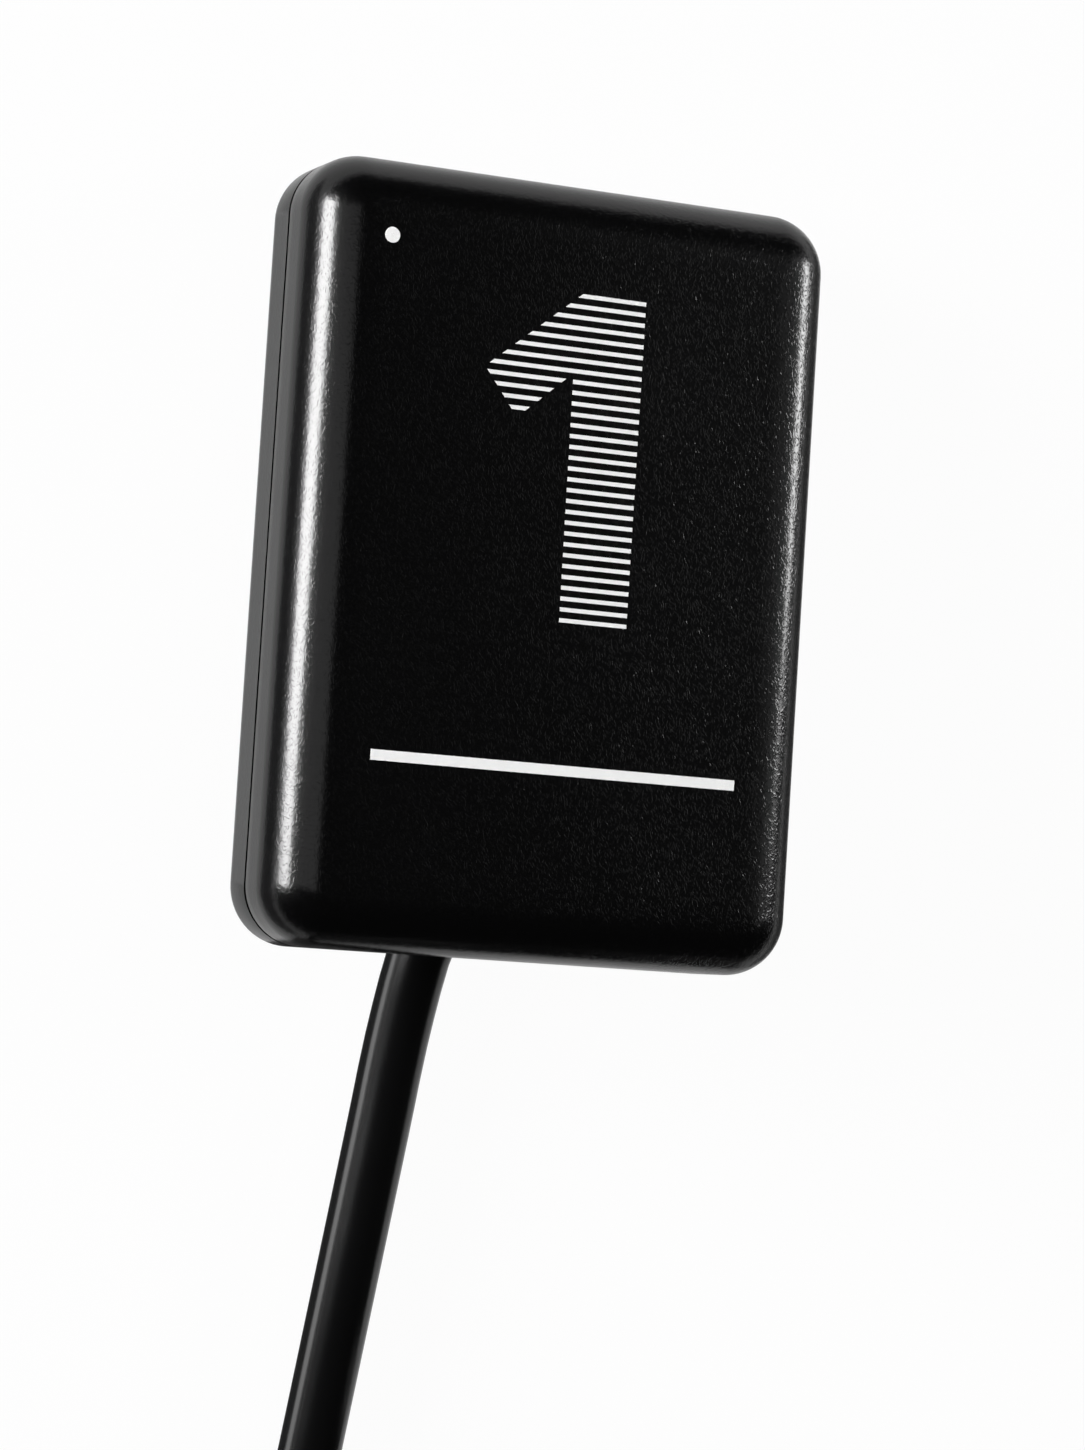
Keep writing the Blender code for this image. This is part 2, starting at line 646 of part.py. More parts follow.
def coil(finishes):
    """The coiled length of the cable as one ring, and the strap that holds it."""
    turn = 2 * math.pi / COIL_STEPS
    rings = [coil_section(turn * step, 0.0, COIL_SECTION_ROUND) for step in range(COIL_STEPS)]
    add("cord_coil", loft(rings, cyclic=True), finishes["jacket"])

    spread = TIE_WIDTH / 2 / COIL_MID_RADIUS
    angles = [TIE_ANGLE + spread * (2 * step / 3 - 1) for step in range(4)]
    inside = [coil_section(a, TIE_GAP, COIL_SECTION_ROUND) for a in angles]
    outside = [coil_section(a, TIE_GAP + TIE_THICKNESS, COIL_SECTION_ROUND + TIE_THICKNESS) for a in angles]
    add("cord_tie", loft(inside + outside[::-1], cyclic=True), finishes["strap"])


def plug_frame():
    """A frame at the rear end of the plug's body, with x towards its tip."""
    foot = PLUG_HEADING - math.pi / 2
    x = COIL_CENTRE[0] + PLUG_OFFSET * math.cos(foot)
    y = COIL_CENTRE[1] + PLUG_OFFSET * math.sin(foot)
    z = COIL_HEIGHT + TIE_GAP + BODY_HEIGHT / 2
    return frame("plug_axis", (x, y, z), (0.0, 0.0, PLUG_HEADING))


def section_x(x, width, height, radius, steps=3):
    """A round-cornered section across the plug, at a place along it."""
    return [(x, y, z) for y, z in rounded(width, height, radius, steps)]


def plug_body(finish, parent):
    """The plug's grip: tapered to the boot, with grooves across it, and hollow for the metal shell."""
    rings = []
    for step in range(6):
        share = (step / 5) ** 1.5
        fill = math.sin(math.pi / 2 * share)
        width = BODY_END_WIDTH + (BODY_WIDTH - BODY_END_WIDTH) * fill
        height = BODY_END_HEIGHT + (BODY_HEIGHT - BODY_END_HEIGHT) * fill
        rings.append(section_x(BODY_TAPER * share, width, height, BODY_ROUND))
    mouth, floor = GRIP_MOUTH / 2, GRIP_FLOOR / 2
    for groove in range(GRIP_GROOVES):
        at = GRIP_START + groove * GRIP_PITCH
        for along, depth in ((-mouth, 0.0), (-floor, GRIP_DEPTH), (floor, GRIP_DEPTH), (mouth, 0.0)):
            rings.append(section_x(at + along, BODY_WIDTH - 2 * depth, BODY_HEIGHT - 2 * depth, BODY_ROUND))
    for step in range(4):
        angle = math.pi / 2 * step / 3
        less = 2 * BODY_FRONT_ROUND * (1 - math.cos(angle))
        x = BODY_LENGTH - BODY_FRONT_ROUND * (1 - math.sin(angle))
        rings.append(section_x(x, BODY_WIDTH - less, BODY_HEIGHT - less, BODY_ROUND))
    body = add("plug_body", loft(rings), finish, parent)

    fit = 2 * TIE_GAP
    pocket_start = BODY_LENGTH - SHELL_INSIDE - TIE_GAP
    pocket = [
        section_x(x, SHELL_WIDTH + fit, SHELL_HEIGHT + fit, SHELL_ROUND + TIE_GAP)
        for x in (pocket_start, BODY_LENGTH + fit)
    ]
    boolean(body, add("pocket_cutter", loft(pocket), None, parent, helper=True), "DIFFERENCE")
    passage = CABLE_RADIUS + SNUG_GAP
    spigot = passage + BOOT_SPIGOT_WALL + SNUG_GAP
    profile = [
        (spigot, -fit),
        (spigot, BOOT_SPIGOT + SNUG_GAP),
        (passage, BOOT_SPIGOT + SNUG_GAP),
        (passage, pocket_start + fit),
    ]
    axis = frame("plug_bore_axis", (0.0, 0.0, 0.0), (0.0, math.pi / 2, 0.0), parent)
    boolean(body, add("passage_cutter", turned(profile), None, axis, helper=True), "DIFFERENCE")


def plug_boot(finish, parent):
    """The soft boot behind the plug: a spigot inside the body and grooves that let it flex."""
    inner = CABLE_RADIUS + SNUG_GAP
    profile = [(inner, -BOOT_LENGTH), (inner + BOOT_TIP_WALL, -BOOT_LENGTH)]
    for number in range(1, BOOT_GROOVES + 1):
        share = number / (BOOT_GROOVES + 1)
        middle = -BOOT_LENGTH * (1 - share)
        radius = inner + BOOT_TIP_WALL + (BOOT_WALL - BOOT_TIP_WALL) * share
        low, high = middle - BOOT_GROOVE_WIDTH / 2, middle + BOOT_GROOVE_WIDTH / 2
        floor = radius - BOOT_GROOVE_DEPTH
        profile += [(radius, low), (floor, low), (floor, high), (radius, high)]
    spigot = inner + BOOT_SPIGOT_WALL
    profile += [(inner + BOOT_WALL, -SNUG_GAP), (spigot, -SNUG_GAP)]
    profile += [(spigot, BOOT_SPIGOT), (inner, BOOT_SPIGOT)]
    axis = frame("boot_axis", (0.0, 0.0, 0.0), (0.0, math.pi / 2, 0.0), parent)
    add("plug_boot", turned(profile, cyclic=True), finish, axis)


def plug_metal(finishes, parent):
    """The folded metal shell with its four windows, the carrier with its tongue, and the four contacts."""
    back = BODY_LENGTH - SHELL_INSIDE
    tip = BODY_LENGTH + SHELL_OUTSIDE
    inner_width = SHELL_WIDTH - 2 * SHELL_WALL
    inner_height = SHELL_HEIGHT - 2 * SHELL_WALL
    inner_round = SHELL_ROUND - SHELL_WALL
    flare = SHELL_WALL / 2
    rings = [
        section_x(back, SHELL_WIDTH, SHELL_HEIGHT, SHELL_ROUND),
        section_x(tip - flare, SHELL_WIDTH, SHELL_HEIGHT, SHELL_ROUND),
        section_x(tip, SHELL_WIDTH - flare, SHELL_HEIGHT - flare, SHELL_ROUND),
        section_x(tip, inner_width + flare, inner_height + flare, inner_round),
        section_x(tip - flare, inner_width, inner_height, inner_round),
        section_x(back, inner_width, inner_height, inner_round),
    ]
    shell = add("plug_shell", loft(rings, cyclic=True), finishes["steel"], parent)
    for number, y in enumerate((-WINDOW_SPACING / 2, WINDOW_SPACING / 2), 1):
        at = (tip - WINDOW_FROM_TIP, y)
        mesh = plate(WINDOW_SIDE, WINDOW_SIDE, -SHELL_HEIGHT, SHELL_HEIGHT, WINDOW_CORNER, at)
        boolean(shell, add(f"window_cutter_{number}", mesh, None, parent, helper=True), "DIFFERENCE")

    block_width = inner_width - 2 * CONTACT_GAP
    floor = -inner_height / 2 + CONTACT_GAP
    face = floor + TONGUE_THICKNESS
    ceiling = inner_height / 2 - CONTACT_GAP
    front = tip - TONGUE_SETBACK
    step = BODY_LENGTH  # the full height of the block ends level with the grip's front face
    outline = [(back, floor), (front, floor), (front, face), (step, face), (step, ceiling), (back, ceiling)]
    rings = [[(x, y, z) for x, z in outline] for y in (-block_width / 2, block_width / 2)]
    carrier = add("plug_carrier", loft(rings), finishes["carrier"], parent)
    start = BODY_LENGTH + CONTACT_GAP
    recess = face - CONTACT_THICKNESS - CONTACT_GAP
    for number, y in enumerate(CONTACT_PLACES, 1):
        length = OUTER_CONTACT_LENGTH if number in (1, 4) else INNER_CONTACT_LENGTH
        end = start + length
        at = ((start + end) / 2, y)
        room = 2 * CONTACT_GAP
        slot = plate(length + room, CONTACT_WIDTH + room, recess, face + CONTACT_GAP, CONTACT_CORNER, at)
        boolean(carrier, add(f"slot_cutter_{number}", slot, None, parent, helper=True), "DIFFERENCE")
        low = recess + CONTACT_GAP
        strip = plate(length, CONTACT_WIDTH, low, low + CONTACT_THICKNESS, CONTACT_CORNER, at)
        add(f"plug_contact_{number}", strip, finishes["gold"], parent)


def build():
    for old in list(bpy.data.objects):
        bpy.data.objects.remove(old)
    finishes = {
        "housing": material("black_housing", (0.012, 0.012, 0.013), 0.38),
        "jacket": material("cable_jacket", (0.012, 0.012, 0.013), 0.42),
        "rubber": material("relief_rubber", (0.02, 0.02, 0.021), 0.6),
        "board": material("board_green", (0.02, 0.14, 0.06), 0.45),
        "silicon": material("imager_silicon", (0.16, 0.17, 0.22), 0.2, 0.4),
        "fibre": material("fibre_glass", (0.5, 0.52, 0.5), 0.15),
        "phosphor": material("scintillator_white", (0.85, 0.86, 0.8), 0.55),
        "chip": material("chip_resin", (0.02, 0.02, 0.022), 0.55),
        "socket": material("socket_white", (0.75, 0.73, 0.66), 0.45),
        "can": material("crystal_can", (0.62, 0.62, 0.6), 0.3, 1.0),
        "capacitor": material("capacitor_ceramic", (0.4, 0.27, 0.15), 0.5),
        "cushion": material("grey_foam", (0.18, 0.18, 0.19), 0.9),
        "strap": material("strap_nylon", (0.025, 0.025, 0.027), 0.75),
        "steel": material("plug_steel", (0.7, 0.7, 0.69), 0.25, 1.0),
        "carrier": material("carrier_white", (0.8, 0.8, 0.78), 0.4),
        "gold": material("contact_gold", (0.85, 0.62, 0.24), 0.25, 1.0),
        "wire_red": material("wire_red", (0.6, 0.03, 0.03), 0.4),
        "wire_white": material("wire_white", (0.8, 0.8, 0.78), 0.4),
        "wire_green": material("wire_green", (0.04, 0.35, 0.09), 0.4),
        "wire_black": material("wire_black", (0.02, 0.02, 0.02), 0.4),
    }
    upper_edge = HEAD_HEIGHT / 2 - BACK_ROUND
    lift = math.sin(TILT) * upper_edge - BACK_ROUND * math.cos(TILT) + BACK_ROUND
    face_z = HEAD_THICKNESS - FACE_ROUND
    reach_up = (HEAD_HEIGHT / 2 - FACE_ROUND) * math.cos(TILT) + face_z * math.sin(TILT) + FACE_ROUND
    reach_down = upper_edge * math.cos(TILT) - BACK_ROUND * math.sin(TILT) + BACK_ROUND
    head = frame("head", (0.0, (reach_down - reach_up) / 2, lift), (-TILT, 0.0, 0.0))

    front_shell(finishes["housing"], head)
    rear_shell(finishes["housing"], head)
    layers(finishes, head)
    socket_face = board_parts(finishes, head)
    cushions(finishes["cushion"], head)
    wires(finishes, socket_face, head)
    strain_relief(finishes["rubber"], head)

    for name, route in (("cord_tube", ROUTE_OUT), ("cord_tail", ROUTE_TAIL)):
        points = [tuple(value * mm for value in point) for point in route]
        tube(name, smooth_path(points, ROUTE_SPACING), CABLE_RADIUS, finishes["jacket"])
    coil(finishes)
    plug = plug_frame()
    plug_body(finishes["housing"], plug)
    plug_boot(finishes["rubber"], plug)
    plug_metal(finishes, plug)


build()
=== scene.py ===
import math

import bmesh
import bpy
from mathutils import Matrix, Vector


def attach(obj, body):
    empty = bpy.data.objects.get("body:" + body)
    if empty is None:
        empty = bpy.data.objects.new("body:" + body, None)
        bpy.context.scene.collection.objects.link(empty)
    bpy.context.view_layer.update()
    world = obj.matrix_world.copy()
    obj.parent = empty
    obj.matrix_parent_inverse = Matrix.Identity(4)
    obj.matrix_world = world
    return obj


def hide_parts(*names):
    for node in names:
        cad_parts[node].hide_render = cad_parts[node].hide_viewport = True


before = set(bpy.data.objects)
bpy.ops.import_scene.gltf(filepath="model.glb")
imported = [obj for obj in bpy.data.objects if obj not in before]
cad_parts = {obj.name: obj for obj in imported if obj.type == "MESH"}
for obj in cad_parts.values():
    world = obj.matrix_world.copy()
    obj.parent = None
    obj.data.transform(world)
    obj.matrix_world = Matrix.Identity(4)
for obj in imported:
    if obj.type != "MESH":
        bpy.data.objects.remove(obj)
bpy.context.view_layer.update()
print("model loaded:", len(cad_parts), "nodes")

# An x-ray sensor that lies face up, with its cable wound and tied below it. Sizes are in millimetres.
mm = 0.001
metres = Matrix.Scale(mm, 4)
scene = bpy.context.scene

head = {
    "width": 27.5,
    "height": 37.7,
    "thickness": 7.3,
    "corner": 2.9,  # radius of the outline's corners
    "faceRound": 2.6,
    "backRound": 1.5,
    "frontWall": 0.8,
    "backWall": 0.9,
    "sideWall": 1.1,
    "exit": (-9.0, -2.75),  # of the cable's axis at the hump's end face: along the head, and behind its back
    "snout": 2.7,  # radius of the hump's end
}


def restAngle():
    # the snout and the round of the upper back edge both touch the table
    along = head["height"] / 2 - head["backRound"] - head["exit"][0]
    across = head["backRound"] - head["exit"][1]
    reach = math.hypot(along, across)
    return math.atan2(across, along) + math.asin((head["snout"] - head["backRound"]) / reach)


def headPlace():
    edge = head["height"] / 2 - head["backRound"]
    lift = math.sin(tilt) * edge + head["backRound"] * (1 - math.cos(tilt))
    top = head["height"] / 2 - head["faceRound"]
    up = top * math.cos(tilt) + (head["thickness"] - head["faceRound"]) * math.sin(tilt) + head["faceRound"]
    down = edge * math.cos(tilt) - head["backRound"] * math.sin(tilt) + head["backRound"]
    return metres @ Matrix.Translation((0, (down - up) / 2, lift)) @ Matrix.Rotation(-tilt, 4, "X")


tilt = restAngle()
onHead = headPlace()
onCable = onHead @ Matrix.Translation((0, *head["exit"])) @ Matrix.Rotation(math.pi / 2 + tilt, 4, "X")

# Camera: its place is in millimetres, and right and up are the picture's
view = {
    "place": (-83.558, 18.516, 199.152),
    "right": (0.91177, 0.1435, 0.38482),
    "up": (-0.08334, 0.98212, -0.16878),
    "lens": 107.293,
    "sensor": 36.0,
}


def makeCamera():
    lens = bpy.data.cameras.new("camera")
    lens.sensor_width = view["sensor"]
    lens.lens = view["lens"]
    lens.clip_start = 0.005
    lens.clip_end = 20.0
    made = bpy.data.objects.new("camera", lens)
    right = Vector(view["right"]).normalized()
    back = right.cross(Vector(view["up"])).normalized()
    turn = Matrix((right, back.cross(right), back)).transposed()
    made.matrix_world = Matrix.Translation(Vector(view["place"]) * mm) @ turn.to_4x4()
    scene.collection.objects.link(made)
    scene.camera = made


makeCamera()
print("camera placed")


# Shader tools
class Value:
    # a node's socket: an expression on values adds its Math nodes
    def __init__(self, finish, socket):
        self.finish = finish
        self.socket = socket

    def math(self, operation, first, second):
        return self.finish.node("ShaderNodeMath", {"operation": operation}, {0: first, 1: second})

    def __add__(self, other):
        return self.math("ADD", self, other)

    def __radd__(self, other):
        return self.math("ADD", other, self)

    def __sub__(self, other):
        return self.math("SUBTRACT", self, other)

    def __rsub__(self, other):
        return self.math("SUBTRACT", other, self)

    def __mul__(self, other):
        return self.math("MULTIPLY", self, other)

    def __rmul__(self, other):
        return self.math("MULTIPLY", other, self)


class Finish:
    # a material, or the world, whose nodes are added one call at a time
    def __init__(self, name, owner=None, **constants):
        self.material = owner or bpy.data.materials.new(name)
        self.material.use_nodes = True
        self.tree = self.material.node_tree
        self.surface = self.tree.nodes.get("Principled BSDF")
        self.set(**constants)

    def set(self, **values):
        for socket, value in values.items():
            self.give(self.surface.inputs[socket.replace("_", " ")], value)

    def give(self, socket, value):
        if isinstance(value, Value):
            self.tree.links.new(value.socket, socket)
        elif isinstance(value, (tuple, list)) and len(value) == 3 and socket.type == "RGBA":
            socket.default_value = (*value, 1.0)
        else:
            socket.default_value = value

    def node(self, kind, settings, sockets, output=0):
        made = self.tree.nodes.new(kind)
        for setting, value in settings.items():
            setattr(made, setting, value)
        for socket, value in sockets.items():
            self.give(made.inputs[socket], value)
        return Value(self, made.outputs[output])

    def spot(self, size, lean=0):
        # place on the surface, counted in patches of this size in mm, which lean by degrees about the upright
        place = self.node("ShaderNodeTexCoord", {}, {}, "Object")
        turn = (0, 0, math.radians(lean))
        sockets = {"Vector": place, "Rotation": turn, "Scale": tuple(value * mm for value in size)}
        return self.node("ShaderNodeMapping", {"vector_type": "TEXTURE"}, sockets)

    def noise(self, size, lean=0, detail=2.0):
        sockets = {"Vector": self.spot(size, lean), "Scale": 1.0, "Detail": detail, "Roughness": 0.5}
        return self.node("ShaderNodeTexNoise", {}, sockets)

    def range(self, value, low, high, out=(0.0, 1.0)):
        sockets = {"Value": value, "From Min": low, "From Max": high, "To Min": out[0], "To Max": out[1]}
        return self.node("ShaderNodeMapRange", {"interpolation_type": "SMOOTHSTEP"}, sockets)

    def blend(self, share, first, second):
        return self.node("ShaderNodeMix", {"data_type": "RGBA"}, {0: share, 6: first, 7: second}, 2)

    def bump(self, height, depth):
        # depth in mm is how far a height of 1 stands out
        sockets = {"Height": height, "Distance": depth * mm, "Strength": 1.0}
        self.set(Normal=self.node("ShaderNodeBump", {}, sockets))


# Finishes
housing = {
    "colour": (0.0009, 0.0009, 0.0010),
    "paler": 1.35,  # times the colour, on the ridges of the grain
    "roughness": 0.22,
    "varies": 0.03,  # of the roughness, with the grain and over broad patches
    "broad": (5.0, 8.0, 5.0),  # size of those patches
    "strand": (0.14, 0.30, 0.20),  # size of a strand of the moulded grain
    "thin": 4.5,  # how narrow a strand's ridge is
    "lean": (30, -14),  # degrees that the two sets of strands lean over
    "patch": (0.30, 0.42, 0.30),  # size of the patches that each set has to itself
    "patchLean": 10,
    "patchEdge": (0.42, 0.58),  # noise levels between which one set gives way to the other
    "gap": (0.17, 0.22, 0.17),  # size of the gaps that break the strands
    "gapEdge": (0.34, 0.52),
    "fine": (0.05, 0.07, 0.05),
    "fineHeight": 0.1,  # of the finest grain, against a strand
    "grainDepth": 0.0056,
    "grainSides": (-9.0, 8.0),  # between these places, left to right on the face,
    "grainShares": (0.5, 0.92),  # the grain's depth grows from one share to the other
}


def housingGrain(finish, facts, share=1.0):
    # fine ridges along the lines where a stretched noise crosses its middle, broken into short strands
    strands = []
    for lean in facts["lean"]:
        wave = finish.noise(facts["strand"], lean, 0.0)
        away = finish.node("ShaderNodeMath", {"operation": "ABSOLUTE"}, {0: wave * 2 - 1})
        strands.append(finish.node("ShaderNodeClamp", {}, {"Value": 1 - away * facts["thin"]}))
    patch = finish.range(finish.noise(facts["patch"], facts["patchLean"], 0.0), *facts["patchEdge"])
    broken = finish.range(finish.noise(facts["gap"], detail=0.0), *facts["gapEdge"])
    both = (strands[0] * patch + strands[1] * (1 - patch)) * broken
    fine = finish.noise(facts["fine"]) * facts["fineHeight"]
    place = finish.node("ShaderNodeTexCoord", {}, {}, "Object")
    across = finish.node("ShaderNodeSeparateXYZ", {}, {"Vector": place}, "X")
    left, right = (side * mm for side in facts["grainSides"])
    depth = finish.range(across, left, right, facts["grainShares"])
    finish.bump((both + fine) * depth, facts["grainDepth"] * share)
    return both


def makeHousing(name, facts):
    finish = Finish(name, IOR=1.5)
    grain = housingGrain(finish, facts)
    broad = finish.noise(facts["broad"])
    pale = tuple(value * facts["paler"] for value in facts["colour"])
    finish.set(Base_Color=finish.blend(grain, facts["colour"], pale))
    finish.set(Roughness=facts["roughness"] + (grain + broad - 1) * facts["varies"])
    return finish.material


ink = {
    "colours": ((0.86, 0.86, 0.86), (0.92, 0.92, 0.91)),
    "roughness": 0.42,
    "varies": 0.12,
    "cover": (0.09, 0.09, 0.09),  # size of the patches where it covers less or more
    "grain": 0.35,  # share of the housing's grain that shows through
}


def makeInk(name, facts):
    finish = Finish(name, IOR=1.45)
    housingGrain(finish, housing, facts["grain"])
    cover = finish.noise(facts["cover"], detail=1.0)
    finish.set(Base_Color=finish.blend(cover, *facts["colours"]))
    finish.set(Roughness=facts["roughness"] + cover * facts["varies"])
    return finish.material


plainFinishes = {
    # colour, roughness, size and depth of the surface's grain, how far its colour varies, metallic
    "cableJacket": ((0.0018, 0.0018, 0.0019), 0.22, (0.25, 0.25, 0.25), 0.0016, 0.25, 0.0),
    "reliefRubber": ((0.0060, 0.0060, 0.0062), 0.58, (0.16, 0.16, 0.16), 0.0060, 0.25, 0.0),
    "silicon": ((0.16, 0.17, 0.22), 0.12, (1.4, 1.4, 1.4), 0.0004, 0.20, 0.35),
    "phosphor": ((0.80, 0.81, 0.75), 0.62, (0.05, 0.05, 0.05), 0.0080, 0.12, 0.0),
    "chipResin": ((0.020, 0.020, 0.022), 0.55, (0.06, 0.06, 0.06), 0.0060, 0.30, 0.0),
    "socketWhite": ((0.72, 0.70, 0.63), 0.42, (0.20, 0.20, 0.20), 0.0030, 0.08, 0.0),
    "crystalCan": ((0.62, 0.62, 0.60), 0.30, (0.02, 0.80, 0.02), 0.0010, 0.12, 1.0),
    "greyFoam": ((0.15, 0.15, 0.16), 0.90, (0.14, 0.14, 0.14), 0.0600, 0.45, 0.0),
    "carrierWhite": ((0.76, 0.76, 0.74), 0.40, (0.30, 0.30, 0.30), 0.0030, 0.06, 0.0),
    "contactGold": ((0.83, 0.60, 0.24), 0.22, (0.60, 0.03, 0.03), 0.0008, 0.10, 1.0),
    "wireRed": ((0.50, 0.02, 0.02), 0.36, (0.20, 0.20, 0.20), 0.0020, 0.12, 0.0),
    "wireWhite": ((0.78, 0.78, 0.76), 0.36, (0.20, 0.20, 0.20), 0.0020, 0.06, 0.0),
    "wireGreen": ((0.03, 0.30, 0.07), 0.36, (0.20, 0.20, 0.20), 0.0020, 0.12, 0.0),
    "wireBlack": ((0.015, 0.015, 0.015), 0.36, (0.20, 0.20, 0.20), 0.0020, 0.12, 0.0),
}


def makePlain(name, colour, roughness, size, depth, varies, metallic):
    # a fine grain, with broad patches 14 times its size
    finish = Finish(name, Metallic=metallic)
    grain = finish.noise(size, detail=3.0)
    broad = finish.noise(tuple(value * 14 for value in size))
    dark = tuple(value * (1 - varies) for value in colour)
    light = tuple(min(value * (1 + varies), 0.95) for value in colour)
    finish.set(Base_Color=finish.blend(grain * 0.5 + broad * 0.5, dark, light))
    finish.set(Roughness=roughness * (0.92 + broad * 0.16))
    finish.bump(grain, depth)
    return finish.material


strapWeave = {
    "colour": (0.010, 0.010, 0.011),
    "paler": 2.6,  # times the colour, on the threads' tops
    "roughness": 0.78,
    "pick": 0.42,  # pitch of the threads
    "lean": 330,
    "depth": 0.05,
    "fuzz": (0.05, 0.05, 0.05),
}


def makeStrap(name, facts):
    # threads cross at a pitch, each one under and over its neighbours
    finish = Finish(name, Sheen_Weight=0.25)
    sockets = {"Vector": finish.spot((facts["pick"],) * 3, facts["lean"]), "Scale": 1.0}
    pattern = finish.node("ShaderNodeTexChecker", {}, sockets, "Fac")
    threads = finish.node("ShaderNodeTexWave", {"bands_direction": "DIAGONAL"}, sockets)
    fuzz = finish.noise(facts["fuzz"], detail=3.0)
    weave = threads * pattern * 0.5 + pattern * 0.3 + fuzz * 0.3
    pale = tuple(value * facts["paler"] for value in facts["colour"])
    finish.set(Base_Color=finish.blend(weave, facts["colour"], pale))
    finish.set(Roughness=facts["roughness"] + fuzz * 0.1)
    finish.bump(weave, facts["depth"])
    return finish.material


plugSteel = {
    "colours": ((0.66, 0.66, 0.65), (0.80, 0.80, 0.78)),
    "roughness": 0.36,
    "smear": (2.2, 2.2, 2.2),
    "line": (6.0, 0.05, 0.05),  # size of the fine lines of rolling
    "lean": 250,  # degrees, so that they run along the plug
    "depth": 0.0012,
}


def makeSteel(name, facts):
    # folded and nickel plated, with the fine lines of rolling along it
    finish = Finish(name, Metallic=1.0)
    lines = finish.noise(facts["line"], facts["lean"], 3.0)
    smear = finish.noise(facts["smear"], detail=3.0)
    finish.set(Base_Color=finish.blend(smear, *facts["colours"]))
    finish.set(Roughness=facts["roughness"] + lines * 0.10 + smear * 0.08)
    finish.bump(lines, facts["depth"])
    return finish.material


solderMask = {
    "colours": ((0.012, 0.10, 0.04), (0.03, 0.22, 0.09)),  # on the bare board, and over the copper
    "roughness": 0.34,
    "varies": 0.14,
    "cell": (1.6, 1.6, 1.6),  # between the tracks
    "trackEdge": (0.05, 0.09),  # from a track's flat top to its foot, as shares of a cell
    "weave": (0.2, 0.2, 0.2),
    "depth": 0.02,
}


def makeBoard(name, facts):
    # solder mask over copper: pads and tracks show through as paler, raised lines
    finish = Finish(name)
    settings = {"feature": "DISTANCE_TO_EDGE", "distance": "CHEBYCHEV"}
    sockets = {"Vector": finish.spot(facts["cell"]), "Scale": 1.0}
    cells = finish.node("ShaderNodeTexVoronoi", settings, sockets)
    tracks = finish.range(cells, *facts["trackEdge"], (1.0, 0.0))
    weave = finish.noise(facts["weave"])
    finish.set(Base_Color=finish.blend(tracks, *facts["colours"]))
    finish.set(Roughness=facts["roughness"] + weave * facts["varies"])
    finish.bump(tracks + weave * 0.3, facts["depth"])
    return finish.material


fibreGlass = {
    "colours": ((0.56, 0.60, 0.57), (0.30, 0.34, 0.32)),  # in the middle of a fibre, and between them
    "roughness": 0.10,
    "varies": 0.15,
    "fibre": (0.08, 0.08, 9.0),
    "depth": 0.001,
}


def makeFibrePlate(name, facts):
    # fused glass fibres seen end on
    finish = Finish(name, IOR=1.52)
    ends = finish.node("ShaderNodeTexVoronoi", {}, {"Vector": finish.spot(facts["fibre"]), "Scale": 1.0})
    finish.set(Base_Color=finish.blend(ends, *facts["colours"]))
    finish.set(Roughness=facts["roughness"] + ends * facts["varies"])
    finish.bump(ends, facts["depth"])
    return finish.material


ceramic = {
    "colours": ((0.30, 0.19, 0.10), (0.46, 0.32, 0.18)),
    "roughness": 0.42,
    "varies": 0.2,
    "speck": (0.08, 0.08, 0.08),
    "depth": 0.004,
}


def makeCapacitor(name, facts):
    # brown ceramic with fine specks
    finish = Finish(name)
    speck = finish.noise(facts["speck"], detail=3.0)
    finish.set(Base_Color=finish.blend(speck, *facts["colours"]))
    finish.set(Roughness=facts["roughness"] + speck * facts["varies"])
    finish.bump(speck, facts["depth"])
    return finish.material


finishes = {name: makePlain(name, *facts) for name, facts in plainFinishes.items()}
finishes["housing"] = makeHousing("housing", housing)
finishes["ink"] = makeInk("ink", ink)
finishes["strap"] = makeStrap("strap", strapWeave)
finishes["steel"] = makeSteel("steel", plugSteel)
finishes["board"] = makeBoard("board", solderMask)
finishes["fibrePlate"] = makeFibrePlate("fibrePlate", fibreGlass)
finishes["capacitor"] = makeCapacitor("capacitor", ceramic)
print("finishes made:", len(finishes))


# Mesh tools
def eased(share):
    share = min(max(share, 0.0), 1.0)
    return share * share * (3 - 2 * share)


def quarterRound(steps):
    # along a quarter of a round, in shares of its radius: left to go on one side, and gone on the other
    angles = [math.pi / 2 * step / steps for step in range(steps + 1)]
    return [(1 - math.sin(angle), 1 - math.cos(angle)) for angle in angles]


def roundedOutline(width, height, radius, steps):
    radius = min(radius, width / 2, height / 2)
    points = []
    for quarter, (sx, sy) in enumerate(((1, 1), (-1, 1), (-1, -1), (1, -1))):
        for step in range(steps + 1):
            angle = math.pi / 2 * (quarter + step / steps)
            x = sx * (width / 2 - radius) + radius * math.cos(angle)
            y = sy * (height / 2 - radius) + radius * math.sin(angle)
            points.append((x, y))
    return points


def headRing(inset, z):
    radius = max(head["corner"] - inset, 0.25)
    outline = roundedOutline(head["width"] - 2 * inset, head["height"] - 2 * inset, radius, 16)
    return [(x, y, z) for x, y in outline]


def turnedRings(profile, steps):
    angles = [2 * math.pi * step / steps for step in range(steps)]
    return [[(r * math.cos(a), r * math.sin(a), z) for a in angles] for r, z in profile]


def acrossPlug(x, width, height, radius):
    return [(x, y, z) for y, z in roundedOutline(width, height, radius, 8)]


